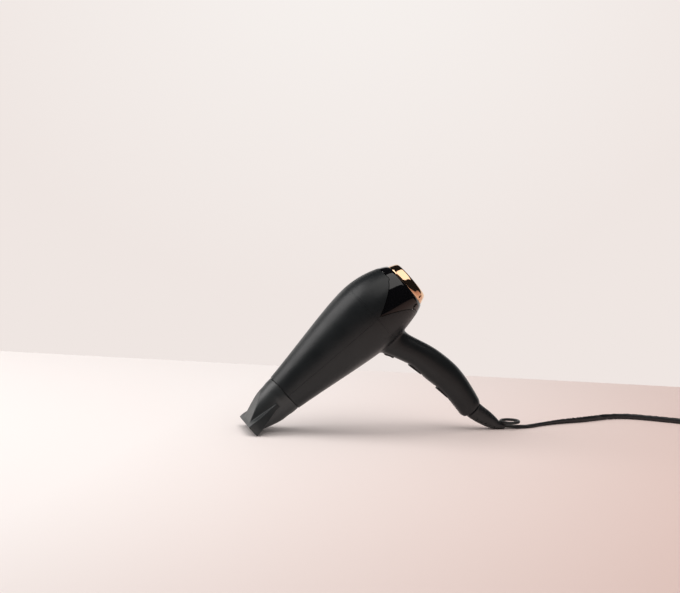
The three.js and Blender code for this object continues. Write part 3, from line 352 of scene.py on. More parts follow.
def bar_y(name, x, z, start, end, radius, sides=32):
    bpy.ops.mesh.primitive_cylinder_add(vertices=sides, radius=radius, depth=end - start,
                                        location=(x, (start + end) / 2, z), rotation=(math.pi / 2, 0, 0))
    return close_up(named(name))


def block(name, low, high):
    size = [b - a for a, b in zip(low, high)]
    bpy.ops.mesh.primitive_cube_add(size=1, location=[(a + b) / 2 for a, b in zip(low, high)], scale=size)
    return named(name)


def plate(name, outline, start, end, normal="Y"):
    """A flat outline drawn out along Y, or along Z, to a thickness."""
    bpy.ops.mesh.primitive_plane_add(size=1)
    piece = named(name)
    mesh = piece.data
    mesh.clear_geometry()
    if normal == "Y":
        corners = [(a, start, b) for a, b in outline]
        step = (0, end - start, 0)
    else:
        corners = [(a, b, start) for a, b in outline]
        step = (0, 0, end - start)
    mesh.from_pydata(corners, [], [list(range(len(corners)))])
    edit(piece)
    bpy.ops.mesh.extrude_region_move(TRANSFORM_OT_translate={"value": step})
    done(piece)
    return close_up(piece)


def mirrored(outline):
    """An outline's upper half with its lower half added."""
    return outline + [(a, -b) for a, b in reversed(outline)]


def superellipse(half_a, half_b, roundness, count):
    """Points round a superellipse: roundness 2 is an ellipse, and more is squarer."""
    points = []
    for i in range(count):
        angle = 2 * math.pi * i / count
        c, s = math.cos(angle), math.sin(angle)
        power = 2 / roundness
        a, b = abs(c) ** power, abs(s) ** power
        points.append((half_a * math.copysign(a, c), half_b * math.copysign(b, s)))
    return points


def rounded(roundness):
    """The outline of a superellipse, for drawing out along a line."""
    return lambda half_a, half_b, count: superellipse(half_a, half_b, roundness, count)


def upright_line(places):
    """Points (x, z) in the middle plane, each with its section level."""
    return [(Vector((x, 0, z)), Vector((1, 0, 0)), Vector((0, 1, 0))) for x, z in places]


def drawn(name, sections, outline, line, count):
    """A ring drawn out along a bent line: each section scales the outline, square to the line."""
    bpy.ops.mesh.primitive_circle_add(vertices=count, radius=1)
    piece = named(name)
    edit(piece)
    for _ in range(len(sections) - 1):
        bpy.ops.mesh.extrude_region_move(TRANSFORM_OT_translate={"value": (0, 0, -1)})
    done(piece)
    vertices = piece.data.vertices
    for i, (section, (centre, across, side)) in enumerate(zip(sections, line)):
        for j, (a, b) in enumerate(outline(*section, count)):
            vertices[i * count + j].co = centre + across * a + side * b
    piece.data.update()
    fill_ends(piece)
    return close_up(piece)


def between(p, q, r, s, t):
    """A share t of the way from q to r on a smooth curve that comes from p and goes on to s."""
    return 0.5 * (
        2 * q + (r - p) * t + (2 * p - 5 * q + 4 * r - s) * t ** 2 + (3 * q - p - 3 * r + s) * t ** 3
    )


def smooth_rows(rows, step):
    """The rows of a table, with more between them on one smooth curve."""
    result = []
    for i in range(len(rows) - 1):
        before, a, b, after = rows[max(i - 1, 0)], rows[i], rows[i + 1], rows[min(i + 2, len(rows) - 1)]
        count = max(1, round(abs(math.dist(a, b)) / step))
        for k in range(count):
            t = k / count
            result.append(tuple(between(p, q, r, s, t) for p, q, r, s in zip(before, a, b, after)))
    result.append(tuple(rows[-1]))
    return result


# ---- Shared outlines ----

def bezier(points, count):
    p0, p1, p2, p3 = [Vector(p) for p in points]
    steps = [i / count for i in range(count + 1)]
    return [
        (1 - t) ** 3 * p0 + 3 * (1 - t) ** 2 * t * p1 + 3 * (1 - t) * t ** 2 * p2 + t ** 3 * p3
        for t in steps
    ]


def barrel_line():
    swell = BELLY_RADIUS - OUTLET_RADIUS
    tail = CAP_END_X - BELLY_X
    front = bezier([
        (0, OUTLET_RADIUS),
        (0.365 * BELLY_X, OUTLET_RADIUS + 0.35 * swell),
        (0.79 * BELLY_X, BELLY_RADIUS),
        (BELLY_X, BELLY_RADIUS),
    ], 200)
    rear = bezier([
        (BELLY_X, BELLY_RADIUS),
        (BELLY_X + 0.37 * tail, BELLY_RADIUS),
        (BELLY_X + 0.81 * tail, CAP_END_RADIUS + 0.55 * (BELLY_RADIUS - CAP_END_RADIUS)),
        (CAP_END_X, CAP_END_RADIUS),
    ], 100)
    return front + rear[1:]


BARREL = barrel_line()


def barrel_radius(x):
    for a, b in zip(BARREL, BARREL[1:]):
        if x <= b.x:
            return a.y + (b.y - a.y) * (x - a.x) / (b.x - a.x)
    return BARREL[-1].y


def barrel_span(start, end, offset, step=3.0):
    count = max(1, round(abs(end - start) / step))
    places = [start + (end - start) * i / count for i in range(count + 1)]
    return [(x, barrel_radius(x) + offset) for x in places]


def barrel_shell(name, start, end, wall, chamfer=0.35):
    """A shell that follows the barrel, with its outer edges eased."""
    outside = barrel_span(start + chamfer, end - chamfer, 0)
    inside = barrel_span(end, start, -wall)
    eased = [(start, barrel_radius(start) - chamfer)] + outside + [(end, barrel_radius(end) - chamfer)]
    return turned(name, eased + inside)


def barrel_core(name, start, end, offset):
    return turned(name, barrel_span(start, end, offset), closed=False)


def handle_rows():
    return smooth_rows(HANDLE_SECTIONS, 2.0)


def handle_at(drop):
    rows = handle_rows()
    for a, b in zip(rows, rows[1:]):
        if drop <= b[0]:
            share = (drop - a[0]) / (b[0] - a[0])
            return [p + (q - p) * share for p, q in zip(a, b)]
    return rows[-1]


def handle_core(name, inset, top=0.0, bottom=0.0, count=96):
    """The handle as a solid, its skin moved inwards by an inset."""
    rows = [row for row in handle_rows() if row[0] <= HANDLE_SECTIONS[-1][0] - bottom]
    if top:
        first = rows[0]
        rows.insert(0, (top, first[1] - 0.2 * (first[0] - top), first[2] + 2, first[3] + 1))
    line = upright_line([(middle, -drop) for drop, middle, _, _ in rows])
    sections = [(depth - inset, width - inset) for _, _, depth, width in rows]
    return drawn(name, sections, rounded(HANDLE_ROUNDNESS), line, count)


def on_handle(drop):
    """A frame on the handle's front: +X points out of the handle, and +Z up along it."""
    span = 6
    over, under, here = handle_at(drop - span), handle_at(drop + span), handle_at(drop)
    up = Vector((over[1] - over[2] - under[1] + under[2], 0, 2 * span)).normalized()
    side = Vector((0, -1, 0))
    out = side.cross(up)
    matrix = Matrix((out, side, up)).transposed().to_4x4()
    matrix.translation = (here[1] - here[2], 0, -drop)
    return matrix


def wing_outline(margin):
    """Behind the cap's front edge, with its two pointed wings."""
    tip = CAP_FRONT_X - WING_REACH - 2 * margin
    front = CAP_FRONT_X - margin
    corners = [0, 0.28, 0.52, 0.73, 0.88, 0.97, 1]
    steps = 48
    bend = 2.5
    upper = []
    for i in range(steps + 1):
        t = i / steps * 6
        k = min(int(t), 5)
        f = t - k
        p = corners[max(k - 1, 0)] if k else -corners[1]
        q, r = corners[k], corners[k + 1]
        s = corners[k + 2] if k < 5 else 1.0
        rise = WING_HALF_HEIGHT * i / steps + margin * min(1, i / 4)
        upper.append((tip + (front - tip) * between(p, q, r, s, f), rise))
    upper = [point for point in upper if point[0] < front - bend]
    corner = [(front - bend + bend * math.sin(a), upper[-1][1] + bend * (1 - math.cos(a)))
              for a in (math.radians(15 * i) for i in range(1, 7))]
    upper += corner + [(front, 62), (CAP_END_X + 6, 62)]
    lower = [(x, -z) for x, z in reversed(upper[1:])]
    return upper + lower


def cap_space(margin):
    return plate("cap space", wing_outline(margin), -62, 62)


# ---- Materials ----

def linear(hex_colour):
    """An sRGB hex colour as the linear numbers that a shader takes."""
    parts = [int(hex_colour[i:i + 2], 16) / 255 for i in (1, 3, 5)]
    return tuple(p / 12.92 if p <= 0.04045 else ((p + 0.055) / 1.055) ** 2.4 for p in parts) + (1.0,)


def add_node(tree, kind, settings=(), inputs=(), links=()):
    """Adds one shader node, sets it up and links outputs of other nodes to its inputs."""
    node = tree.nodes.new(kind)
    for key, value in dict(settings).items():
        setattr(node, key, value)
    for key, value in dict(inputs).items():
        node.inputs[key].default_value = value
    for key, (other, output) in dict(links).items():
        tree.links.new(other.outputs[output], node.inputs[key])
    return node


PLASTIC_IOR = 1.5


def map_range(tree, low, high, source, to=(0.0, 1.0), kind="LINEAR"):
    return add_node(tree, "ShaderNodeMapRange", settings={"interpolation_type": kind},
                    inputs={"From Min": low, "From Max": high, "To Min": to[0], "To Max": to[1]},
                    links={"Value": source})


def mix_colours(tree, first, second, factor):
    return add_node(tree, "ShaderNodeMixRGB", inputs={"Color1": first, "Color2": second},
                    links={"Fac": factor})


def new_material(name, colour, roughness, metallic=0.0):
    """A material with its plain shader and its Object coordinates in metres."""
    material = bpy.data.materials.new(name)
    material.use_nodes = True
    tree = material.node_tree
    shader = tree.nodes["Principled BSDF"]
    shader.inputs["Base Color"].default_value = linear(colour)
    shader.inputs["Roughness"].default_value = roughness
    shader.inputs["Metallic"].default_value = metallic
    if not metallic:
        shader.inputs["IOR"].default_value = PLASTIC_IOR
    place = add_node(tree, "ShaderNodeTexCoord")
    return material, tree, shader, place


def noise_of(tree, place, size_mm, detail):
    return add_node(tree, "ShaderNodeTexNoise", inputs={"Scale": 1 / (size_mm * MM), "Detail": detail},
                    links={"Vector": (place, "Object")})


def grain(tree, place, shader, size_mm, depth_mm, detail=3.0):
    """A fine moulded or cast surface: noise of a real size, as bump."""
    noise = noise_of(tree, place, size_mm, detail)
    bump = add_node(tree, "ShaderNodeBump", inputs={"Strength": 1.0, "Distance": depth_mm * MM},
                    links={"Height": (noise, "Fac")})
    tree.links.new(bump.outputs["Normal"], shader.inputs["Normal"])


def vary_roughness(tree, place, shader, size_mm, low, high):
    """Slow changes in gloss, as handling and moulding leave."""
    noise = noise_of(tree, place, size_mm, 4.0)
    spread = map_range(tree, 0.3, 0.7, (noise, "Fac"), to=(low, high))
    tree.links.new(spread.outputs["Result"], shader.inputs["Roughness"])


def vary_colour(tree, place, shader, size_mm, dark, light):
    noise = noise_of(tree, place, size_mm, 4.0)
    ramp = add_node(tree, "ShaderNodeValToRGB", links={"Fac": (noise, "Fac")})
    ramp.color_ramp.elements[0].position = 0.35
    ramp.color_ramp.elements[0].color = linear(dark)
    ramp.color_ramp.elements[1].position = 0.65
    ramp.color_ramp.elements[1].color = linear(light)
    tree.links.new(ramp.outputs["Color"], shader.inputs["Base Color"])


def plastic(name, dark, light, rough_low, rough_high, grain_mm, depth_mm, specular=0.5, detail=3.0):
    """Moulded plastic: an even colour, slow changes in gloss and a fine spark-eroded grain."""
    material, tree, shader, place = new_material(name, dark, rough_low)
    shader.inputs["Specular IOR Level"].default_value = specular
    vary_colour(tree, place, shader, 25, dark, light)
    vary_roughness(tree, place, shader, 18, rough_low, rough_high)
    grain(tree, place, shader, grain_mm, depth_mm, detail)
    return material


def metal(name, colour, roughness, grain_mm, depth_mm, detail=3.0):
    material, tree, shader, place = new_material(name, colour, roughness, metallic=1.0)
    vary_roughness(tree, place, shader, 6, roughness * 0.8, roughness * 1.25)
    grain(tree, place, shader, grain_mm, depth_mm, detail)
    return material


# Satin ABS from a fine spark-eroded mould: a wide soft highlight and no mirror reflections.
satin_abs = plastic("satin_abs_moulded", "#121618", "#15191B", 0.34, 0.41, 0.35, 0.004, specular=0.4)
# The nozzle's glass-filled nylon is a little greyer and drier.
nozzle_nylon = plastic("nozzle_glass_filled_nylon", "#1E2223", "#222627", 0.36, 0.42, 0.3, 0.005,
                       specular=0.65)
# High-gloss ABS from a polished mould: black, with clear reflections.
gloss_abs = plastic("gloss_abs_polished_mould", "#08080A", "#0A0A0C", 0.045, 0.075, 14.0, 0.0015,
                    detail=0.0)
# Inner glass-filled nylon, dull with its fibres near the surface.
heat_nylon = plastic("heat_nylon_dull", "#191A1C", "#232427", 0.5, 0.62, 0.25, 0.012)
# Dark acetal of the controls and clamps, fine matt.
dark_acetal = plastic("dark_acetal_moulded", "#18191B", "#1C1D20", 0.42, 0.52, 0.3, 0.005)
# Pressed thermoset of the cutout and the motor's cap, dry and slightly speckled.
cream_thermoset = plastic("cream_thermoset_pressed", "#CFC8B4", "#DDD7C6", 0.45, 0.6, 0.6, 0.01)
# The capacitor's dipped coat, and the insulation of the two cores.
blue_film = plastic("blue_capacitor_dipped", "#24508A", "#2E63A4", 0.3, 0.4, 1.0, 0.01)
brown_wire = plastic("brown_pvc_insulation", "#5A3520", "#6B4029", 0.4, 0.5, 0.5, 0.006)
blue_wire = plastic("blue_pvc_insulation", "#2352A0", "#2B5FB4", 0.4, 0.5, 0.5, 0.006)
# Resin-bonded paper, brown and dull.
paper_board = plastic("brown_paper_circuit_board", "#7A5A2A", "#8F6C38", 0.5, 0.65, 0.8, 0.01)
# Soft PVC of the boot, cord and plug: near black, between satin and dull, with a faint extruded ripple.
soft_pvc = plastic("soft_pvc_extruded", "#17181A", "#1C1D1F", 0.38, 0.5, 0.8, 0.006)
boot_pvc = plastic("boot_pvc_moulded", "#1B1C1E", "#202224", 0.36, 0.48, 0.5, 0.006)
# Vacuum-plated trim: a mirror of rose gold over smooth plastic.
rose_gold = metal("rose_gold_vacuum_plated", "#E9C09C", 0.07, 9.0, 0.0008, detail=0.0)
# Plated steel, dull oxidised heating wire, bright turned pins, wound copper and woven gauze.
zinc_steel = metal("zinc_plated_steel", "#A9ACB0", 0.32, 0.5, 0.01)
nichrome = metal("nichrome_oxidised_wire", "#7D736B", 0.42, 0.4, 0.01)
nickel_brass = metal("nickel_plated_brass_turned", "#C6C3BC", 0.2, 0.8, 0.004)
copper_wire = metal("enamelled_copper_wound", "#B8653A", 0.3, 0.4, 0.02)
gauze_steel = metal("steel_gauze_woven", "#6F7276", 0.4, 0.3, 0.01)


def mica():
    """Pressed mica: tan flakes, slightly pearly."""
    material, tree, shader, place = new_material("mica_sheet_pressed", "#A98E62", 0.4)
    flakes = add_node(tree, "ShaderNodeTexVoronoi", inputs={"Scale": 1 / (3.0 * MM)},
                      links={"Vector": (place, "Object")})
    ramp = add_node(tree, "ShaderNodeValToRGB", links={"Fac": (flakes, "Color")})
    ramp.color_ramp.elements[0].color = linear("#8F7448")
    ramp.color_ramp.elements[1].color = linear("#C9B385")
    tree.links.new(ramp.outputs["Color"], shader.inputs["Base Color"])
    grain(tree, place, shader, 2.0, 0.02)
    return material


mica_sheet = mica()


def paint(piece, material):
    piece.data.materials.clear()
    piece.data.materials.append(material)
    return piece


def droop(piece):
    """Sinks and tips the rear of a piece drawn on the straight axis. The handle stays where it is."""
    for vertex in piece.data.vertices:
        x, _, z = vertex.co
        hold = min(max((z - DROOP_HANDLE_Z) / DROOP_BLEND, 0), 1)
        share = hold * min(max((x - DROOP_START_X) / (CAP_END_X - DROOP_START_X), 0), 1) ** 2
        vertex.co.x += share * (DROOP_STRETCH + DROOP_TILT * z)
        vertex.co.z -= share * DROOP + hold * DROOP_TILT * max(x - CAP_END_X, 0)


def put(piece, material, slot, body, *nodes, matrix=REST, rear=False):
    """Moves a finished piece from the dryer's own frame into place, and lets it stand for its CAD nodes."""
    if rear:
        droop(piece)
    piece.data.transform(matrix)
    piece.data.update()
    paint(piece, material)
    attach(piece, body)
    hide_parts(*nodes)
    return piece


# ---- Camera, light and floor ----

CAMERA_TARGET = Vector((-0.05925, 0, 0.16309))
CAMERA_DISTANCE = 2.6933
CAMERA_TURN = math.radians(11.92)
CAMERA_HEIGHT = math.radians(7.97)
CAMERA_ROLL = math.radians(1.88)
CAMERA_LENS = 118.96


def set_camera():
    level = math.cos(CAMERA_HEIGHT)
    back = Vector((-math.sin(CAMERA_TURN) * level, -math.cos(CAMERA_TURN) * level, math.sin(CAMERA_HEIGHT)))
    right = Vector((math.cos(CAMERA_TURN), -math.sin(CAMERA_TURN), 0))
    up = back.cross(right)
    turn = Matrix.Rotation(CAMERA_ROLL, 3, back)
    right, up = turn @ right, turn @ up
    data = bpy.data.cameras.new("camera")
    data.lens = CAMERA_LENS
    data.sensor_width = 36
    data.clip_start = 0.05
    data.clip_end = 30
    camera = bpy.data.objects.new("camera", data)
    bpy.context.scene.collection.objects.link(camera)
    camera.matrix_world = Matrix.Translation(CAMERA_TARGET + back * CAMERA_DISTANCE) @ Matrix(
        (right, up, back)).transposed().to_4x4()
    bpy.context.scene.camera = camera


def area_light(name, place, target, size, power, colour="#FFFFFF"):
    data = bpy.data.lights.new(name, "AREA")
    data.shape = "RECTANGLE"
    data.size, data.size_y = size
    data.energy = power
    data.color = linear(colour)[:3]
    light = bpy.data.objects.new(name, data)
    bpy.context.scene.collection.objects.link(light)
    light.location = place
    light.rotation_euler = (Vector(target) - Vector(place)).to_track_quat("-Z", "Y").to_euler()


def set_studio():
    scene = bpy.context.scene
    scene.view_settings.view_transform = "Standard"
    world = bpy.data.worlds.new("studio")
    scene.world = world
    world.use_nodes = True
    tree = world.node_tree
    tree.nodes.clear()
    # The wall behind is pale to the eye. In reflections it ends above, and the room in front of it is dark.
    direction = add_node(tree, "ShaderNodeTexCoord")
    parts = add_node(tree, "ShaderNodeSeparateXYZ", links={"Vector": (direction, "Generated")})
    behind = map_range(tree, 0.15, 0.35, (parts, "Y"), kind="SMOOTHSTEP")
    low = map_range(tree, 0.42, 0.3, (parts, "Z"), kind="SMOOTHSTEP")
    wall_part = add_node(tree, "ShaderNodeMath", settings={"operation": "MULTIPLY"})
    tree.links.new(behind.outputs["Result"], wall_part.inputs[0])
    tree.links.new(low.outputs["Result"], wall_part.inputs[1])
    reflected = mix_colours(tree, (0.012, 0.012, 0.013, 1), (0.93, 0.9, 0.88, 1), (wall_part, "Value"))
    centre = add_node(tree, "ShaderNodeVectorMath", settings={"operation": "DISTANCE"},
                      inputs={1: (0.2, 0.97, 0.06)}, links={0: (direction, "Generated")})
    glow = map_range(tree, 0.02, 0.2, (centre, "Value"))
    seen = mix_colours(tree, linear("#F8F4F1"), linear("#EFE6E2"), (glow, "Result"))
    path = add_node(tree, "ShaderNodeLightPath")
    ambient = add_node(tree, "ShaderNodeBackground",
                       inputs={"Color": linear("#FFF8F6"), "Strength": 0.54})
    gloss = add_node(tree, "ShaderNodeBackground", links={"Color": (reflected, "Color")})
    wall = add_node(tree, "ShaderNodeBackground", links={"Color": (seen, "Color")})
    inner = add_node(tree, "ShaderNodeMixShader",
                     links={"Fac": (path, "Is Glossy Ray"), 1: (ambient, 0), 2: (gloss, 0)})
    outer = add_node(tree, "ShaderNodeMixShader",
                     links={"Fac": (path, "Is Camera Ray"), 1: (inner, 0), 2: (wall, 0)})
    output = add_node(tree, "ShaderNodeOutputWorld", links={"Surface": (outer, 0)})
    output.is_active_output = True
    area_light("overhead softbox", (0.15, -0.3, 1.6), (0, -0.02, 0.1), (1.5, 1.5), 12, "#FFFBF8")
    area_light("side softbox", (-1.35, 0.4, 1.25), (0, 0, 0.1), (1.2, 1.5), 18, "#FFFCFB")


def set_floor():
    """A pale floor that ends in a straight far edge, with the wall's colour behind it."""
    far_left, far_right = Vector((-0.416, 0.575, 0)), Vector((0.467, 0.277, 0))
    side = (far_right - far_left).normalized()
    front = Vector((side.y, -side.x, 0))
    bpy.ops.mesh.primitive_plane_add(size=1)
    floor = named("floor")
    corners = [far_left - side * 3, far_right + side * 3]
    corners = corners + [corners[1] + front * 4.5, corners[0] + front * 4.5]
    floor.data.clear_geometry()
    floor.data.from_pydata([tuple(c) for c in corners], [], [(3, 2, 1, 0)])
    # Pale pink paper with a painted light falloff: its colour is painted nearly white on the left, where the
    # light falls strongest, and darker and pinker towards the near right.
    material, tree, shader, place = new_material("pale_pink_paper_painted_light_falloff", "#F3E7E2", 0.7)
    parts = add_node(tree, "ShaderNodeVectorMath", settings={"operation": "DOT_PRODUCT"},
                     inputs={1: (0.9, -0.45, 0)}, links={0: (place, "Object")})
    spread = map_range(tree, -0.25, 0.75, (parts, "Value"))
    # Painted light falloff: the paper's pink mixed towards near white on the left.
    paper_tint_and_painted_falloff = mix_colours(tree, linear("#EFEBE9"), linear("#D3AEA2"), (spread, "Result"))
    tree.links.new(paper_tint_and_painted_falloff.outputs["Color"], shader.inputs["Base Color"])
    floor.data.materials.append(material)


# ---- Cord, coil, tie and plug ----

coil_low, coil_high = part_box("cord_coil")
coil_spot = Vector((COIL_CENTRE[0], COIL_CENTRE[1], 0))
floor_frame = Vector((
    (coil_low.x + coil_high.x) / 2 - COIL_CENTRE[0],
    (coil_low.y + coil_high.y) / 2 - COIL_CENTRE[1],
    0,
))
on_surface = Matrix.Translation(floor_frame + coil_spot)
coil_outer = COIL_MID_RADIUS + COIL_BAND / 2
coil_inner = COIL_MID_RADIUS - COIL_BAND / 2


def cord_line():
    """The cord's centreline in metres, with how far it is turned on edge at each point."""
    flat, edge = CORD_THICKNESS / 2 * MM, CORD_WIDTH / 2 * MM
    laid = []
    for x, y, z in CORD_ROUTE:
        turn = min(1.0, max(0.0, (x - TURN_START_M) / TURN_LENGTH_M))
        turn = turn * turn * (3 - 2 * turn)
        laid.append((x, y, z + flat + (edge - flat) * turn, turn))
    cx, cy = COIL_CENTRE
    outer = (coil_outer - CORD_THICKNESS / 2) * MM
    inner = (coil_inner + CORD_THICKNESS / 2) * MM
    base = coil_low.z + CORD_WIDTH / 2 * MM + 0.0001
    upper = coil_high.z - CORD_WIDTH / 2 * MM - 0.0001
    start = Vector((cx + outer * math.cos(COIL_START_ANGLE), cy + outer * math.sin(COIL_START_ANGLE)))
    ahead = Vector((-math.sin(COIL_START_ANGLE), math.cos(COIL_START_ANGLE)))
    rise = 0.024
    for distance in (rise, rise / 2):
        near = start - ahead * distance
        laid.append((near.x, near.y, edge + (base - edge) * (rise - distance) / rise, 1.0))
    coiled = []
    climb = 0.08
    steps = round(COIL_TURNS * COIL_STEPS_PER_TURN)
    for layer, (r0, r1, z) in enumerate([(outer, inner, base), (inner, outer, upper)]):
        for i in range(steps + 1):
            share = i / steps
            angle = COIL_START_ANGLE + 2 * math.pi * COIL_TURNS * (layer + share)
            radius = r0 + (r1 - r0) * share
            height = z
            if layer and share < climb:
                height = base + (upper - base) * (0.5 - 0.5 * math.cos(math.pi * share / climb))
            if layer and i == 0:
                continue
            coiled.append((cx + radius * math.cos(angle), cy + radius * math.sin(angle), height, 1.0))
    return laid, coiled


def flex(count):
    """Two round cores side by side under one flat sheath: an oval with a shallow dip along each face."""
    outline = []
    for i in range(count):
        angle = 2 * math.pi * i / count
        c, s = math.cos(angle), math.sin(angle)
        a = CORD_WIDTH / 2 * math.copysign(abs(c) ** 0.8, c)
        b = CORD_THICKNESS / 2 * math.copysign(abs(s) ** 0.75, s) * (1 - 0.07 * abs(s) ** 8)
        outline.append((a * MM, b * MM))
    return outline


def build_cord():
    laid, coiled = cord_line()
    points = smooth_rows(laid + coiled[:1], 0.004)[:-1] + coiled
    last = Vector(points[-1][:3])
    out = (last - coil_spot).normalized()
    out.z = 0
    leave = Vector((-out.y, out.x, 0))
    plug_z = PLUG_BODY_HEIGHT / 2 * MM
    for distance in (0.006, 0.012, 0.018, 0.024, 0.030):
        spot = last + leave * distance
        points.append((spot.x, spot.y, last.z + (plug_z - last.z) * min(1, distance / 0.024), 1.0))
    centres = [Vector(p[:3]) + floor_frame for p in points]
    turns = [p[3] for p in points]
    rows = []
    for i, (centre_point, turn) in enumerate(zip(centres, turns)):
        tangent = (centres[min(i + 1, len(centres) - 1)] - centres[max(i - 1, 0)]).normalized()
        level = tangent.cross(Vector((0, 0, 1))).normalized()
        upright = level.cross(tangent)
        angle = turn * math.pi / 2
        wide = level * math.cos(angle) + upright * math.sin(angle)
        thick = upright * math.cos(angle) - level * math.sin(angle)
        rows.append((centre_point, wide, thick))

    cord = drawn("power_cord", [()] * len(rows), flex, rows, CORD_SIDES)
    smooth(cord, 60)
    paint(cord, soft_pvc)
    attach(cord, "dryer")
    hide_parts("cord", "cord_coil")
    return cord, centres


def build_tie():
    """A hook-and-loop strap round the coil's turns."""
    inner, outer = coil_inner - TIE_SLACK, coil_outer + TIE_SLACK
    low = TIE_THICKNESS
    high = (coil_high.z / MM) + GAP
    corner = TIE_CORNER
    loop = []
    for cx, cz, start in [(outer - corner, low + corner, -90), (outer - corner, high - corner, 0),
                          (inner + corner, high - corner, 90), (inner + corner, low + corner, 180)]:
        for i in range(7):
            angle = math.radians(start + 15 * i)
            loop.append((cx + corner * math.cos(angle), cz + corner * math.sin(angle)))
    centre = ((inner + outer) / 2, (low + high) / 2)
    grown = [(
        centre[0] + (x - centre[0]) * (1 + 2 * TIE_THICKNESS / (outer - inner)),
        centre[1] + (z - centre[1]) * (1 + 2 * TIE_THICKNESS / (high - low)),
    ) for x, z in loop]
    strap = plate("cord_tie_strap", grown, -TIE_WIDTH / 2, TIE_WIDTH / 2)
    cut(strap, plate("hole", loop, -TIE_WIDTH, TIE_WIDTH))
    soften(strap, 0.25, 2, 50)
    smooth(strap, 40)
    matrix = on_surface @ Matrix.Rotation(TIE_ANGLE, 4, "Z") @ Matrix.Scale(MM, 4)
    return put(strap, dark_acetal, "dark_plastic", "dryer", "cord_tie", matrix=matrix)


def build_plug():
    """A contour plug with two round pins, its grip ribbed."""
    height = PLUG_BODY_HEIGHT / 2
    aside = coil_outer - CORD_THICKNESS / 2
    grip = math.sqrt((coil_outer + GAP) ** 2 - (aside - PLUG_GRIP_HALF_WIDTH) ** 2)
    body = grip + PLUG_GRIP_LENGTH
    end = body + PLUG_BODY_LENGTH
    stations = [
        (grip, PLUG_GRIP_HALF_WIDTH, PLUG_GRIP_HALF_WIDTH - 0.8),
        (body, 1.5 * PLUG_GRIP_HALF_WIDTH, 1.5 * PLUG_GRIP_HALF_WIDTH - 0.6),
        (body + 7, PLUG_BODY_WIDTH / 2 - 3, height - 3),
        (body + 18, PLUG_BODY_WIDTH / 2 - 2.2, height - 2.4),
        (end - 12, PLUG_BODY_WIDTH / 2 - 0.2, height - 0.2),
        (end - 1.2, PLUG_BODY_WIDTH / 2, height),
        (end - 0.3, PLUG_BODY_WIDTH / 2 - 0.4, height - 0.4),
        (end, PLUG_BODY_WIDTH / 2 - 1.2, height - 1.2),
    ]
    rows = smooth_rows(stations[:6], 1.2) + stations[6:]
    line = [(Vector((aside, y, height)), Vector((1, 0, 0)), Vector((0, 0, 1))) for y, _, _ in rows]
    shape = drawn("plug_moulding", [(a, b) for _, a, b in rows], rounded(3), line, 72)
    wide, half_slot = 12, 0.55
    for i in range(5):
        y = grip + 2.4 + 2.5 * i
        reach = 2.6 + 0.14 * i
        for low, high in ((-wide, -reach), (reach, wide)):
            cut(shape, block("slot", (aside - wide, y - half_slot, height + low),
                             (aside + wide, y + half_slot, height + high)))
    for side in (-1, 1):
        cut(shape, bar_y("socket", aside + side * PIN_SPACING / 2, height, end - PIN_DEPTH - GAP, end + 1,
                         PIN_RADIUS + GAP))
    smooth(shape, 40)
    matrix = on_surface @ Matrix.Scale(MM, 4)
    put(shape, soft_pvc, "black_rubber", "dryer", "plug_body", matrix=matrix)
    pieces = [shape]
    for side, word in ((-1, "left"), (1, "right")):
        pin = bar_y(f"plug_pin_{word}_turned", aside + side * PIN_SPACING / 2, height,
                    end - PIN_DEPTH, end + PIN_LENGTH, PIN_RADIUS, 48)
        soften(pin, 0.9, 4, 50)
        smooth(pin, 40)
        put(pin, nickel_brass, "pin_metal", "dryer", f"plug_pin_{word}", matrix=matrix)
        pieces.append(pin)
    return pieces


set_camera()
set_studio()
set_floor()
cord, cord_path = build_cord()
tie = build_tie()
plug_pieces = build_plug()


# ---- Nozzle ----

def nozzle_solid(name, inset):
    """A cone flattened above and below, with a fin on each side, its skin moved inwards by an inset."""
    reach = 1.0 if inset else 0.0
    rear = NOZZLE_REAR_RADIUS - inset
    waist = 0.93 * NOZZLE_REAR_RADIUS - inset
    front = -NOZZLE_LENGTH - reach
    tip = 0.86 * NOZZLE_REAR_RADIUS - inset
    shoulder = 0.985 * NOZZLE_REAR_RADIUS - inset
    profile = [(-NOZZLE_GAP, rear), (-9.0, shoulder), (-FACET_START, waist), (front, tip)]
    cone = turned(name, smooth_rows(profile, 2.0), 128, closed=False)
    slot = SLOT_HEIGHT / 2 - inset
    lip_x = -NOZZLE_LENGTH + LIP_LENGTH
    slope = (waist - slot) / (FACET_START + lip_x)
    flats = [(front - 1, slot), (lip_x, slot), (-FACET_START, waist), (2, waist - slope * (FACET_START + 2))]
    keep(cone, plate("flats", mirrored(flats), -60, 60))
    half = SLOT_WIDTH / 2 - inset
    root = NOZZLE_REAR_RADIUS - inset
    side = smooth_rows([
        (front, half),
        (front + 9, half - 0.6),
        (-FIN_START - 24, root + 6.4),
        (-FIN_START - 12, root + 1.8),
        (-FIN_START - 2.5, root - 0.6),
        (-FIN_START - 0.8, root - 1.2),
        (-FIN_START, root - 3.5),
    ], 1.0)
    fins = plate("fins", mirrored(side), -slot, slot, normal="Z")
    thin = FIN_ROOT_HEIGHT / 2 - inset
    taper = [(front, slot), (lip_x, slot), (-FIN_START, thin)]
    keep(fins, plate("taper", mirrored(taper), -60, 60))
    return join(cone, fins)


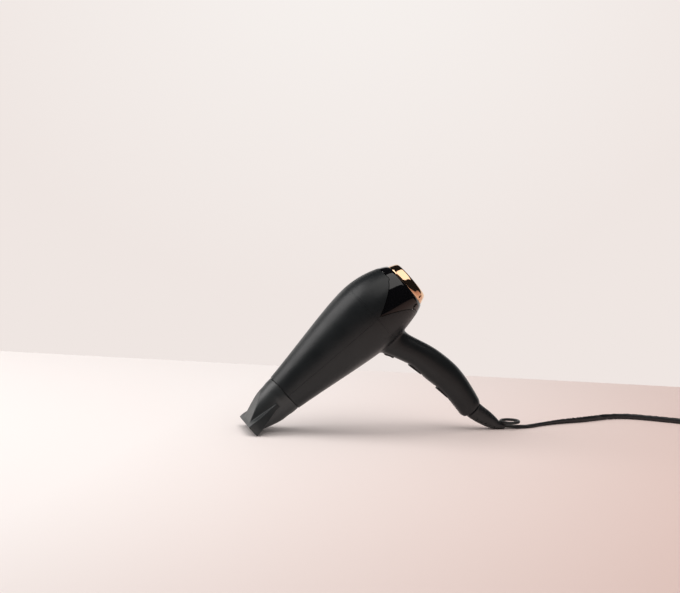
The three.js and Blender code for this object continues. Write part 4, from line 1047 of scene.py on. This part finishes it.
def build_nozzle():
    nozzle = nozzle_solid("nozzle_shell", 0)
    finish_with(nozzle, "REMESH", mode="VOXEL", voxel_size=0.5)
    finish_with(nozzle, "SMOOTH", factor=0.5, iterations=12)
    cut(nozzle, nozzle_solid("inside", NOZZLE_WALL))
    bore = SPIGOT_RADIUS + SNAP_RING_WALL + 2 * GAP
    cut(nozzle, bar_x("socket", -SNAP_RING_LENGTH - 2, 1, bore, 128))
    smooth(nozzle, 30)
    put(nozzle, nozzle_nylon, "nozzle_black", "nozzle", "nozzle")
    inner = SPIGOT_RADIUS + GAP
    ring = ring_x("nozzle_snap_ring_turned", -SNAP_RING_LENGTH - 1, -GAP, inner, inner + SNAP_RING_WALL)
    soften(ring, 0.3)
    smooth(ring)
    put(ring, heat_nylon, "heat_plastic", "snap_ring", "nozzle_snap_ring")


# ---- Barrel ----

def build_barrel():
    shell = barrel_shell("barrel_shell", NOZZLE_GAP, RING_SEAM_X, SHELL_WALL, 0.15)
    cut(shell, handle_core("root", -GAP, top=10))
    for name, side in (("upper", 1), ("lower", -1)):
        half = half_of(shell, f"barrel_{name}_skin", (0, 0, side * HAIRLINE), (0, 0, side))
        smooth(half)
        put(half, satin_abs, "satin_black_housing", "dryer", f"barrel_{name}_shell")
    bpy.data.objects.remove(shell)


def build_outlet():
    flange = barrel_radius(GAP) - SHELL_WALL - GAP
    inner = SPIGOT_RADIUS - SPIGOT_WALL
    back = GAP + COLLAR_FLANGE
    end = back + COLLAR_SOCKET
    collar = turned("outlet_collar_turned", [
        (-SPIGOT_LENGTH, inner), (-SPIGOT_LENGTH, SPIGOT_RADIUS - 0.3), (-SPIGOT_LENGTH + 0.3, SPIGOT_RADIUS),
        (GAP, SPIGOT_RADIUS), (GAP, flange), (back, flange), (back, SPIGOT_RADIUS), (end, SPIGOT_RADIUS),
        (end, inner),
    ], 128)
    smooth(collar)
    put(collar, heat_nylon, "heat_plastic", "dryer", "outlet_collar")
    rim = inner - GAP
    grille = grid_of_rings("outlet_grille_moulded", -1 - OUTLET_GRILLE_THICKNESS, -1,
                           [rim, 0.64 * rim, 0.28 * rim], 1.4, rim, 3, 1.2)
    put(grille, heat_nylon, "heat_plastic", "dryer", "outlet_grille")


def grid_of_rings(name, start, end, radii, width, rim, bars, bar_width, hub=0.0):
    """Rings held by bars across the middle, with eased edges."""
    whole = None
    for radius in radii:
        ring = ring_x(name, start, end, radius - width, radius, 96)
        whole = join(whole, ring) if whole else ring
    for i in range(bars):
        bar = block("bar", (start, -rim + 0.5, -bar_width / 2), (end, rim - 0.5, bar_width / 2))
        bar.data.transform(Matrix.Rotation(math.pi * i / bars, 4, "X"))
        join(whole, bar)
    if hub:
        join(whole, bar_x("hub", start, end, hub))
    soften(whole, 0.22, 2, 40)
    return smooth(whole, 40)


# ---- Rear housing with the handle ----

SCREWS = {"barrel": (170, 33, 17), "grip": (150, -112, 13), "end": (148, -163, 9.5)}
SCREW_RADIUS = 1.5
SCREW_HEAD_RADIUS = 2.9


def control_openings():
    wide, long = BUTTON["width"] / 2 + GAP, BUTTON["length"] / 2 + GAP
    hole = block("hole", (-8, -wide, -long), (8, wide, long))
    soften(hole, 1.2, 4, 60)
    hole.data.transform(on_handle(BUTTON["drop"]))
    cuts = [hole]
    for drop in SLIDES.values():
        reach = SLIDE_LENGTH / 2 + SLIDE_TRAVEL + GAP
        wide = SLIDE_WIDTH / 2 + GAP
        track = block("track", (-TRACK_DEPTH, -wide, -reach), (8, wide, reach))
        soften(track, 0.8, 3, 60)
        wide, long = STEM_WIDTH / 2 + GAP, STEM_LENGTH / 2 + SLIDE_TRAVEL + GAP
        slot = block("slot", (-8, -wide, -long), (8, wide, long))
        join(track, slot)
        track.data.transform(on_handle(drop))
        cuts.append(track)
    return cuts


def build_housing():
    """The barrel's rear and the handle in one skin with a soft fillet between them, split into two halves."""
    body = barrel_core("housing", 60, CAP_FRONT_X + 4, 0)
    join(body, handle_core("handle", 0, top=10))
    finish_with(body, "REMESH", mode="VOXEL", voxel_size=1.0)
    group = body.vertex_groups.new(name="junction")
    for vertex in body.data.vertices:
        x, y, z = vertex.co
        off_barrel = math.hypot(y, z) - barrel_radius(min(max(x, 0), CAP_END_X))
        near = max(0.0, 1 - abs(off_barrel - 3) / 12) if z < -20 and off_barrel > -3 else 0.0
        if near:
            group.add([vertex.index], min(1.0, 2 * near), "REPLACE")
    finish_with(body, "SMOOTH", factor=0.5, iterations=60, vertex_group="junction")
    finish_with(body, "SMOOTH", factor=0.5, iterations=3)
    cut(body, barrel_core("front", 50, RING_SEAM_X + HAIRLINE, GAP))
    cut(body, block("ahead", (40, -60, -30), (100, 60, 60)))
    cut(body, cap_space(CAP_SEAM))
    cut(body, barrel_core("inside", RING_SEAM_X - 2, CAP_FRONT_X + 6, -SHELL_WALL))
    cut(body, handle_core("hollow", HANDLE_WALL, top=10, bottom=HANDLE_WALL))
    mouth = HANDLE_SECTIONS[-1][0]
    line = upright_line([(BOOT_SECTIONS[0][0], z) for z in (-mouth - 3, -mouth + 6)])
    hole = drawn("mouth", [(BOOT_MOUTH, BOOT_MOUTH)] * 2, rounded(BOOT_ROUNDNESS), line, 64)
    cut(body, hole, *control_openings())
    for side, word in ((-1, "left"), (1, "right")):
        half = half_of(body, f"handle_shell_{word}_skin", (0, side * GAP / 2, 0), (0, side, 0))
        if side > 0:
            for x, z, reach in SCREWS.values():
                cut(half, bar_y("recess", x, z, reach - 2.5, 70, SCREW_HEAD_RADIUS, 48))
        smooth(half)
        put(half, satin_abs, "satin_black_housing", "dryer", f"handle_shell_{word}", rear=True)
    bpy.data.objects.remove(body)


def build_screws():
    for word, (x, z, reach) in SCREWS.items():
        screw = bar_y(f"screw_{word}_cross_head", x, z, reach - 2.2, reach, SCREW_HEAD_RADIUS - GAP, 48)
        soften(screw, 0.5, 3, 50)
        join(screw, bar_y("shank", x, z, -reach + 4, reach - 2, SCREW_RADIUS, 24))
        for size in ((2.0, 0.35), (0.35, 2.0)):
            cross = block("cross", (x - size[0], reach - 1, z - size[1]),
                          (x + size[0], reach + 1, z + size[1]))
            cut(screw, cross)
        smooth(screw, 40)
        put(screw, zinc_steel, "plated_steel", "dryer", f"housing_screw_{word}", rear=True)


# ---- Controls ----

def build_controls():
    half_width, half_length = BUTTON["width"] / 2, BUTTON["length"] / 2
    under = -HANDLE_WALL - 3.5
    button = block("cool_shot_button_cap", (under, -half_width, -half_length),
                   (BUTTON["proud"], half_width, half_length))
    soften(button, 1.1, 5, 60)
    join(button, block("lip", (under - LIP_DEPTH, -half_width - 1.5, -half_length - 1),
                       (under, half_width + 1.5, half_length + 1)))
    dish = turned("dish", [(-14, 0.1), (-14, DISH_RADIUS), (14, DISH_RADIUS), (14, 0.1)], 96)
    above_button = Matrix.Translation((BUTTON["proud"] + DISH_RADIUS - 0.5, 0, 0))
    dish.data.transform(above_button @ Matrix.Rotation(math.pi / 2, 4, "Z"))
    cut(button, dish)
    smooth(button, 40)
    put(button, dark_acetal, "dark_plastic", "cool_shot_button", "cool_shot_button",
        matrix=REST @ on_handle(BUTTON["drop"]))
    for word, drop in SLIDES.items():
        half = SLIDE_LENGTH / 2
        wedge = plate(f"{word}_slide_knob", [
            (GAP - TRACK_DEPTH, -half), (GAP - TRACK_DEPTH, half),
            (SLIDE_PROUD, half), (SLIDE_PROUD - 1.1, -half),
        ], -SLIDE_WIDTH / 2, SLIDE_WIDTH / 2)
        soften(wedge, 0.6, 3, 30)
        for i in range(SLIDE_GROOVES):
            top = half - 2.8 - 2.8 * i
            height = SLIDE_PROUD - 0.16 * i
            groove = block("groove", (height - 0.55, -SLIDE_WIDTH, top - 1.0), (height + 2, SLIDE_WIDTH, top))
            soften(groove, 0.3, 2, 60)
            cut(wedge, groove)
        join(wedge, block("stem", (-HANDLE_WALL - 5, -STEM_WIDTH / 2, -STEM_LENGTH / 2),
                          (0, STEM_WIDTH / 2, STEM_LENGTH / 2)))
        smooth(wedge, 35)
        put(wedge, dark_acetal, "dark_plastic", f"{word}_slide", f"{word}_slide",
            matrix=REST @ on_handle(drop))


# ---- Cap, trim ring, grille and filter ----

def build_rear():
    cap = barrel_shell("rear_cap_gloss", CAP_FRONT_X - WING_REACH - 1, CAP_END_X, CAP_WALL, 0.5)
    keep(cap, cap_space(-CAP_SEAM))
    join(cap, ring_x("lip", CAP_END_X - 1.6, CAP_END_X - 0.02, RING_REAR_RADIUS - 1, CAP_END_RADIUS - 1, 160))
    smooth(cap)
    put(cap, gloss_abs, "gloss_black_cap", "dryer", "rear_cap", rear=True)
    start = CAP_END_X + GAP
    inner = RING_REAR_RADIUS - RING_WALL
    end = start + RING_WIDTH
    wide, narrow = RING_FRONT_RADIUS, RING_REAR_RADIUS
    ring = turned("trim_ring_plated", [
        (start, wide - 2.6), (start, wide - 0.4), (start + 0.12, wide - 0.1), (start + 0.5, wide),
        (start + 0.3 * RING_WIDTH, wide - 0.22 * (wide - narrow)),
        (start + 0.6 * RING_WIDTH, wide - 0.5 * (wide - narrow)),
        (start + 0.88 * RING_WIDTH, wide - 0.82 * (wide - narrow)),
        (end - 0.5, narrow - 0.1), (end - 0.12, narrow - 0.4), (end, narrow - 0.8), (end, inner + 0.3),
        (end - 0.4, inner), (start + 1, inner), (start + 1, wide - 2.6),
    ], 192)
    smooth(ring, 40)
    put(ring, rose_gold, "rose_gold_trim", "dryer", "trim_ring", rear=True)
    rim = inner - GAP
    back = start + RING_WIDTH - 1
    front = back - GRILLE_THICKNESS
    grille = grid_of_rings("rear_grille_moulded", front, back,
                           [rim, 0.78 * rim, 0.56 * rim, 0.34 * rim], 1.6, rim, 6, 1.4, hub=3.6)
    join(grille, ring_x("skirt", start + 1.5, front + 0.5, rim - 1.2, rim, 96))
    smooth(grille, 40)
    put(grille, gloss_abs, "gloss_black_cap", "rear_grille", "rear_grille", rear=True)
    build_filter(front - GAP, rim - 1.2 - GAP)


def build_filter(back, radius):
    """A disc of woven gauze in a thin rim. Its wires are coarser than the real ones so that they show."""
    count = int(2 * radius / GAUZE_PITCH)
    middle = back - FILTER_THICKNESS / 2
    bpy.ops.mesh.primitive_grid_add(x_subdivisions=count, y_subdivisions=count, size=2 * radius,
                                    location=(middle, 0, 0), rotation=(0, math.pi / 2, 0))
    gauze = named("filter_gauze_woven")
    edit(gauze, "DESELECT")
    done(gauze)
    for vertex in gauze.data.vertices:
        vertex.select = math.hypot(vertex.co.y, vertex.co.z) > radius - 0.7
    only(gauze)
    bpy.ops.object.mode_set(mode="EDIT")
    bpy.ops.mesh.delete(type="VERT")
    done(gauze)
    finish_with(gauze, "WIREFRAME", thickness=GAUZE_WIRE, use_even_offset=False, use_boundary=True)
    rim = ring_x("rim", back - FILTER_THICKNESS, back, radius - 1.6, radius, 96)
    only(gauze)
    rim.select_set(True)
    bpy.ops.object.join()
    smooth(gauze, 40)
    put(gauze, gauze_steel, "steel_gauze", "rear_grille", "filter_mesh", rear=True)


# ---- Boot ----

def build_boot():
    """A tapered sleeve bent down to the surface, slotted to flex, with a hanging loop on its end."""
    rows = BOOT_SECTIONS[:1] + smooth_rows(BOOT_SECTIONS[1:], 1.6)
    centres = [Vector((x, 0, z)) for x, z, _, _ in rows]
    floor_along = Vector((math.cos(tilt), 0, -math.sin(tilt)))
    floor_up = Vector((math.sin(tilt), 0, math.cos(tilt)))
    line = []
    for i, centre in enumerate(centres):
        direction = (centres[min(i + 1, len(centres) - 1)] - centres[max(i - 1, 0)]).normalized()
        if i == len(centres) - 1:
            direction = floor_along
        if i < 2:
            direction = Vector((0.05, 0, -1)).normalized()
        line.append((centre, Vector((-direction.z, 0, direction.x)), Vector((0, 1, 0))))
    sections = [(a, b) for _, _, a, b in rows]
    boot = drawn("cord_boot_moulded", sections, rounded(BOOT_ROUNDNESS), line, 80)
    first, last = BOOT_SECTIONS[2], BOOT_SECTIONS[6]
    for i in range(BOOT_SLOTS):
        share = i / (BOOT_SLOTS - 1)
        x = first[0] + (last[0] - first[0]) * share ** 1.15
        z = first[1] + (last[1] - first[1]) * share
        lean = -0.16 - 0.34 * share
        spine = 6 - 3.4 * share
        for side in (-1, 1):
            start, end = sorted((side * spine, side * (spine + 10)))
            low = side * 0.5 - BOOT_SLOT_WIDTH / 2
            slot = block("slot", (start, -15, low), (end, 15, low + BOOT_SLOT_WIDTH))
            slot.data.transform(Matrix.Translation((x, 0, z)) @ Matrix.Rotation(lean, 4, "Y"))
            cut(boot, slot)
    neck = upright_line([(BOOT_SECTIONS[0][0], z) for z in (-172.9, -177.4)])
    join(boot, drawn("neck", [(BOOT_NECK, BOOT_NECK)] * 2, rounded(BOOT_ROUNDNESS), neck, 80))
    end = BOOT_SECTIONS[-1]
    bpy.ops.mesh.primitive_torus_add(major_radius=LOOP_RADIUS, minor_radius=LOOP_BAR, major_segments=72,
                                     minor_segments=20)
    loop = named("loop")
    centre = Vector((end[0], 0, end[1])) + floor_along * LOOP_AHEAD + floor_up * LOOP_RISE
    loop.data.transform(Matrix.Translation(centre) @ Matrix.Rotation(tilt, 4, "Y"))
    join(boot, loop)
    smooth(boot, 40)
    put(boot, boot_pvc, "black_rubber", "dryer", "cord_boot")


build_nozzle()
build_barrel()
build_outlet()
build_housing()
build_screws()
build_controls()
build_rear()
build_boot()

# ---- Pieces that keep their CAD shape ----

CARRIED = [
    (mica_sheet, "mica_sheet", ["mica_sleeve", "mica_plate_upright", "mica_plate_flat"]),
    (nichrome, "heater_wire", ["heater_coil_front", "heater_coil_rear"]),
    (cream_thermoset, "white_plastic", ["thermal_cutout", "motor_brush_cap"]),
    (zinc_steel, "plated_steel", ["thermal_fuse", "motor", "motor_shaft", "cool_shot_spring"]),
    (dark_acetal, "dark_plastic", [
        "fan_housing", "fan_impeller", "cool_shot_switch", "speed_switch", "heat_switch", "cord_clamp",
    ]),
    (paper_board, "circuit_board", ["rectifier_board"]),
    (blue_film, "component_blue", ["suppression_capacitor"]),
    (copper_wire, "copper_winding", ["choke_coil"]),
    (soft_pvc, "black_rubber", ["cord_inner_end"]),
    (brown_wire, "wire_brown", ["wire_live"]),
    (blue_wire, "wire_blue", ["wire_neutral"]),
]
for material, slot_name, nodes in CARRIED:
    for node in nodes:
        paint(frame["nodes"][node], material)
